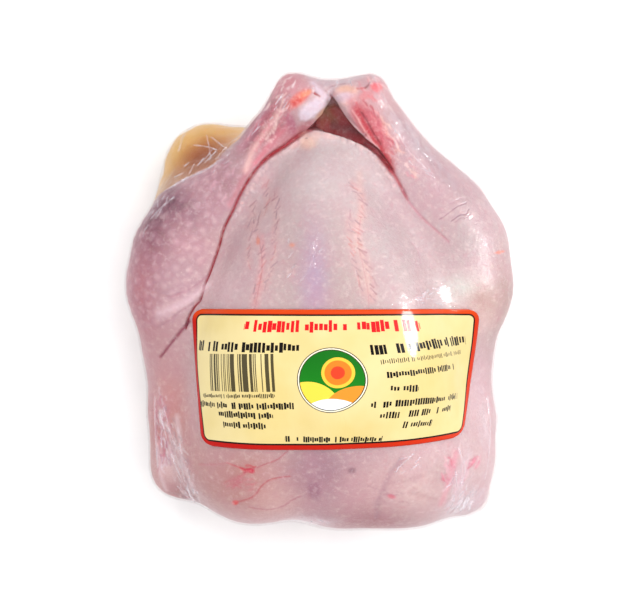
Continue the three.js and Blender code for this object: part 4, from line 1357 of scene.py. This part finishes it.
def block_group():
    """A printed block: 1 inside a rectangle on the label, and where a point lies in it."""
    group, paint, given, out = new_group("printed block", BLOCK_INPUTS, ["Mask", "Along", "Aside"])
    dx = paint.minus(given["Across"], given["Middle Across"])
    dy = paint.minus(given["Down"], given["Middle Down"])
    cos, sin = paint.math("COSINE", given["Tilt"]), paint.math("SINE", given["Tilt"])
    along = paint.minus(paint.times(dx, cos), paint.times(dy, sin))
    aside = paint.plus(paint.times(dx, sin), paint.times(dy, cos))
    inside = [paint.less(paint.math("ABSOLUTE", value), paint.times(size, 0.5))
              for value, size in ((along, given["Length"]), (aside, given["Height"]))]
    paint.feed(out["Mask"], paint.times(*inside))
    paint.feed(out["Along"], along)
    paint.feed(out["Aside"], aside)
    return group


def words_group(block):
    """A row of plain word bars: short marks of uneven height, with gaps between the bars."""
    group, paint, given, out = new_group("word bars", [*BLOCK_INPUTS, "Seed", "Weight"], ["Mask"])
    drawn = place_group(paint, block, {name: given[name] for name in BLOCK_INPUTS})
    cell = paint.math("DIVIDE", drawn["Along"], paint.times(given["Height"], MARK_PITCH))
    whole = paint.math("FLOOR", cell)
    draw = paint.node("ShaderNodeTexWhiteNoise", {
        "W": paint.plus(whole, paint.times(given["Seed"], 37.3))}, noise_dimensions="1D")
    chance = draw.outputs["Value"]
    tint = paint.node("ShaderNodeSeparateColor", {"Color": draw.outputs["Color"]}).outputs
    broad = paint.times(given["Weight"], paint.plus(1.0, paint.times(tint["Green"], 0.45)))
    kept = paint.math("GREATER_THAN", chance, WORD_GAPS)
    rise = paint.plus(0.22, paint.times(paint.math("GREATER_THAN", tint["Blue"], 0.5), 0.18))
    tall = paint.times(given["Height"], paint.plus(rise, paint.times(chance, 0.08)))
    drop = paint.times(given["Height"], paint.times(paint.minus(chance, 0.5), 0.16))
    within = paint.less(paint.math("ABSOLUTE", paint.plus(drawn["Aside"], drop)), tall)
    mark = paint.times(paint.less(paint.minus(cell, whole), broad), within)
    paint.feed(out["Mask"], paint.times(paint.times(drawn["Mask"], kept), mark))
    return group


# Rows of word bars on the label, in its own millimetres from the middle and from the top edge.
Words = namedtuple("Words", "across down length height tilt weight ink")
DARK_PRINT = (8, 3, 2)
RED_PRINT = (214, 14, 24)
ROWS_OF_WORDS = [
    Words(-1.5, 7.0, 72, 5.2, 0, 0.66, RED_PRINT),
    Words(-39.0, 15.4, 48.6, 4.6, 0, 0.62, DARK_PRINT),
    Words(-42.0, 35.4, 35, 2.0, 2.4, 0.5, DARK_PRINT),
    Words(-39.5, 39.2, 45, 3.0, 1, 0.62, DARK_PRINT),
    Words(-38.0, 42.9, 24.5, 3.0, 0, 0.62, DARK_PRINT),
    Words(-38.5, 47.1, 19, 3.0, 0, 0.62, DARK_PRINT),
    Words(37.1, 15.2, 50, 4.6, 3.2, 0.6, DARK_PRINT),
    Words(37.0, 20.4, 43.3, 2.2, 3, 0.35, DARK_PRINT),
    Words(34.7, 26.1, 34.6, 3.0, 2.6, 0.58, DARK_PRINT),
    Words(23.2, 32.8, 12, 3.2, -3, 0.58, DARK_PRINT),
    Words(32.5, 38.8, 41.7, 3.0, 0.3, 0.58, DARK_PRINT),
    Words(31.9, 43.5, 33, 3.0, 0.3, 0.55, DARK_PRINT),
    Words(31.7, 48.3, 13.4, 3.0, -2, 0.58, DARK_PRINT),
    Words(-1.8, 52.8, 40, 2.6, -1.4, 0.62, DARK_PRINT),
]
STRIPES = (-39.0, 25.8, 29.6, 15.2, 1.4)  # middle, length, height and tilt
STRIPES_IN_A_MILLIMETRE = 2.6
STRIPE_GAPS = 0.46
EMBLEM = (-2.4, 28.5)
EMBLEM_RADIUS = 13.2
EMBLEM_RINGS = ((0, (60, 46, 40)), (0.35, (246, 240, 214)), (0.8, (50, 50, 30)))  # inset and colour
EMBLEM_FIELD = 1.15  # inset of the pictured field
# The sun and the hills: the disc's middle, radius and colour.
EMBLEM_DISCS = [
    (2.5, -3, 6.2, (240, 190, 60)), (2.5, -3, 5.0, (232, 122, 30)), (2.5, -3, 2.6, (214, 60, 30)),
    (-9, 14, 13.5, (246, 206, 70)), (10, 17, 14.5, (226, 140, 42)), (0, 25, 17.5, (238, 236, 244)),
]
BORDER_WIDTH, BORDER_LINE = 2.05, 2.75
BORDER_LINE_COLOUR = (24, 2, 0)


def label_material(settings):
    """Glossy printed paper: rows of word bars, stripes, a round emblem and a border."""
    material, paint, output = new_material("printed label")
    flat = paint.node("ShaderNodeUVMap", uv_map="UVMap").outputs["UV"]
    split = paint.node("ShaderNodeSeparateXYZ", {"Vector": flat}).outputs
    length, height = settings.length / MM, settings.height / MM
    across = paint.times(paint.minus(split["X"], 0.5), length)
    down = paint.times(paint.minus(1.0, split["Y"]), height)
    place = paint.place()
    block = block_group()
    words = words_group(block)

    def printed(group, x, y, long, tall, tilt, **more):
        return place_group(paint, group, {
            "Across": across, "Down": down, "Middle Across": float(x), "Middle Down": float(y),
            "Length": float(long), "Height": float(tall), "Tilt": math.radians(tilt), **more})

    def ink(colour, mask, tone, strength=1.0):
        return paint.blend(paint.times(mask, strength), colour, shade(*tone))

    # ground, a little uneven, and the rows of words
    uneven = paint.spread(paint.noise(place, 0.03, 3), 0.3, 0.7)
    colour = paint.blend(uneven, tuple(settings.ground), shade(221, 203, 148))
    for n, row in enumerate(ROWS_OF_WORDS):
        bars = printed(words, *row[:5], Seed=float(n + 1), Weight=row.weight)
        colour = ink(colour, bars["Mask"], row.ink)

    # plain stripes
    drawn = printed(block, *STRIPES)
    bar = paint.node("ShaderNodeTexWhiteNoise", {
        "W": paint.math("FLOOR", paint.times(drawn["Along"], STRIPES_IN_A_MILLIMETRE))},
        noise_dimensions="1D")
    stripes = paint.times(drawn["Mask"], paint.math("GREATER_THAN", bar.outputs["Value"], STRIPE_GAPS))
    colour = ink(colour, stripes, DARK_PRINT, 0.9)

    # round emblem: a sun over hills, in a double ring
    dx, dy = paint.minus(across, float(EMBLEM[0])), paint.minus(down, float(EMBLEM[1]))
    reach = paint.distance(dx, dy)
    for inset, tone in EMBLEM_RINGS:
        colour = ink(colour, paint.less(reach, EMBLEM_RADIUS - inset), tone)
    field = paint.blend(paint.spread(dy, -12.0, 6.0), shade(8, 104, 14), tuple(settings.emblem))
    for middle_x, middle_y, radius, tone in EMBLEM_DISCS:
        gap = paint.distance(paint.minus(dx, float(middle_x)), paint.minus(dy, float(middle_y)))
        field = paint.blend(paint.less(gap, float(radius)), field, shade(*tone))
    colour = paint.blend(paint.less(reach, EMBLEM_RADIUS - EMBLEM_FIELD), colour, field)

    # border with a thin dark line inside it, by the distance from the label's rounded outline
    corner = float(LABEL_CORNER)
    half = paint.minus(length / 2, paint.times(down, LABEL_TAPER / height / 2))
    qx = paint.minus(paint.math("ABSOLUTE", across), paint.minus(half, corner))
    qy = paint.minus(paint.math("ABSOLUTE", paint.minus(down, height / 2)), height / 2 - corner)
    past = paint.distance(paint.math("MAXIMUM", qx, 0.0), paint.math("MAXIMUM", qy, 0.0))
    within = paint.math("MINIMUM", paint.math("MAXIMUM", qx, qy), 0.0)
    edge = paint.minus(corner, paint.plus(past, within))
    colour = ink(colour, paint.less(edge, BORDER_LINE), BORDER_LINE_COLOUR)
    # painted light: the border is painted lighter towards the right and along its top edge, where more light
    # and a sheen fall
    tone = paint.blend(paint.spread(across, -50.0, 60.0), tuple(settings.border), shade(198, 44, 0))
    tone = paint.blend(paint.spread(down, 0.0, 6.0), shade(205, 64, 4), tone)
    colour = paint.blend(paint.less(edge, BORDER_WIDTH), colour, tone)

    crease = paint.node("ShaderNodeMapping", {"Vector": place, "Scale": (1.0, 0.3, 1.0)}).outputs[0]
    normal = paint.bump(paint.noise(crease, 0.006, 4, 0.55), 0.0003)
    paper = paint.node("ShaderNodeBsdfPrincipled", {
        "Base Color": colour, "Roughness": 0.42, "Normal": normal, "Specular IOR Level": 0.06,
        "Coat Weight": 0.22, "Coat Roughness": 0.08})
    paint.feed(output.inputs["Surface"], paper.outputs[0])
    return material


class CHICKEN_OT_label(bpy.types.Operator):
    """Lay the printed label over the film"""
    bl_idname = "chicken.label"
    bl_label = "Printed Label"

    def execute(self, context):
        settings = context.scene.chicken.label
        label = build_label(settings, bpy.data.objects["film"])
        finish_piece(label, label_material(settings), "label", LABEL_NODE)
        return {"FINISHED"}


# ---- The stage ----
SIDE_PLACE = (0.79, 0.14, 0.5)
# A light's name, power as a share of the key's, size, place and what it leaves out.
LIGHTS = [
    ("key", 1, 0.9, (0.15, 0.1, 1.0), "visible_glossy"),
    ("glint", 3.4, 0.32, SIDE_PLACE, "visible_diffuse"),
    ("side", 0.4, 0.5, SIDE_PLACE, "visible_glossy"),
    ("spark", 0.1, 0.04, (-0.3, 0.45, 0.9), None),
]
LIT_PLACE = (0, 0, 0.05)
EYE_PLACE = (0.0002, 0.0017)


def floor_material():
    """Pale matt paper."""
    material, paint, output = new_material("pale floor")
    grain = paint.spread(paint.noise(paint.place(), 0.02, 3), 0.3, 0.7)
    colour = paint.blend(grain, shade(246, 246, 247), shade(250, 250, 250))
    surface = paint.node("ShaderNodeBsdfPrincipled", {"Base Color": colour, "Roughness": 0.9})
    paint.feed(output.inputs["Surface"], surface.outputs[0])
    return material


def add_light(name, power, size, place, left_out):
    """A round soft light that faces the bird. What it leaves out is a kind of ray, or None."""
    data = bpy.data.lights.new(name, "AREA")
    data.energy, data.shape, data.size = power, "DISK", size
    light = bpy.data.objects.new(name, data)
    bpy.context.scene.collection.objects.link(light)
    light.location = place
    light.rotation_euler = (Vector(LIT_PLACE) - Vector(place)).to_track_quat("-Z", "Y").to_euler()
    if left_out:
        setattr(light, left_out, False)


class CHICKEN_OT_stage(bpy.types.Operator):
    """Set up the floor, the soft lights and the camera"""
    bl_idname = "chicken.stage"
    bl_label = "Stage"

    def execute(self, context):
        settings = context.scene.chicken.stage
        scene = context.scene
        bpy.ops.object.select_all(action="DESELECT")
        bpy.ops.mesh.primitive_plane_add(size=6)
        floor = context.object
        floor.name = "floor"
        floor.data.materials.append(floor_material())

        world = bpy.data.worlds.new("studio")
        world.use_nodes = True
        ground = world.node_tree.nodes["Background"]
        ground.inputs["Color"].default_value = (1, 1, 1, 1)
        ground.inputs["Strength"].default_value = settings.fill
        scene.world = world
        for name, share, size, place, left_out in LIGHTS:
            add_light(name, settings.key * share, size, place, left_out)

        data = bpy.data.cameras.new("camera")
        data.lens, data.sensor_width = settings.lens, 36
        camera = bpy.data.objects.new("camera", data)
        scene.collection.objects.link(camera)
        camera.location = (*EYE_PLACE, settings.eye_height)
        scene.camera = camera
        scene.view_settings.view_transform = "Standard"
        return {"FINISHED"}


# ---- The panel ----
class CHICKEN_PT_panel(bpy.types.Panel):
    """Steps that build the wrapped chicken"""
    bl_idname = "CHICKEN_PT_panel"
    bl_label = "Wrapped Chicken"
    bl_space_type = "VIEW_3D"
    bl_region_type = "UI"
    bl_category = "Wrapped Chicken"

    def draw(self, context):
        settings = context.scene.chicken
        for operator, name in ((CHICKEN_OT_film, "film"), (CHICKEN_OT_bird, "bird"),
                               (CHICKEN_OT_label, "label"), (CHICKEN_OT_stage, "stage")):
            box = self.layout.box()
            group = getattr(settings, name)
            for key in group.bl_rna.properties.keys():
                if key not in {"rna_type", "name"}:
                    box.prop(group, key)
            box.operator(operator.bl_idname)


CLASSES = (
    BirdSettings, FilmSettings, LabelSettings, StageSettings, ChickenSettings, CHICKEN_OT_film,
    CHICKEN_OT_bird, CHICKEN_OT_label, CHICKEN_OT_stage, CHICKEN_PT_panel,
)


def register():
    for item in CLASSES:
        bpy.utils.register_class(item)
    bpy.types.Scene.chicken = PointerProperty(type=ChickenSettings)


def unregister():
    del bpy.types.Scene.chicken
    for item in reversed(CLASSES):
        bpy.utils.unregister_class(item)


def main():
    register()
    bpy.ops.chicken.film()
    bpy.ops.chicken.bird()
    bpy.ops.chicken.label()
    bpy.ops.chicken.stage()


if __name__ == "__main__":
    main()
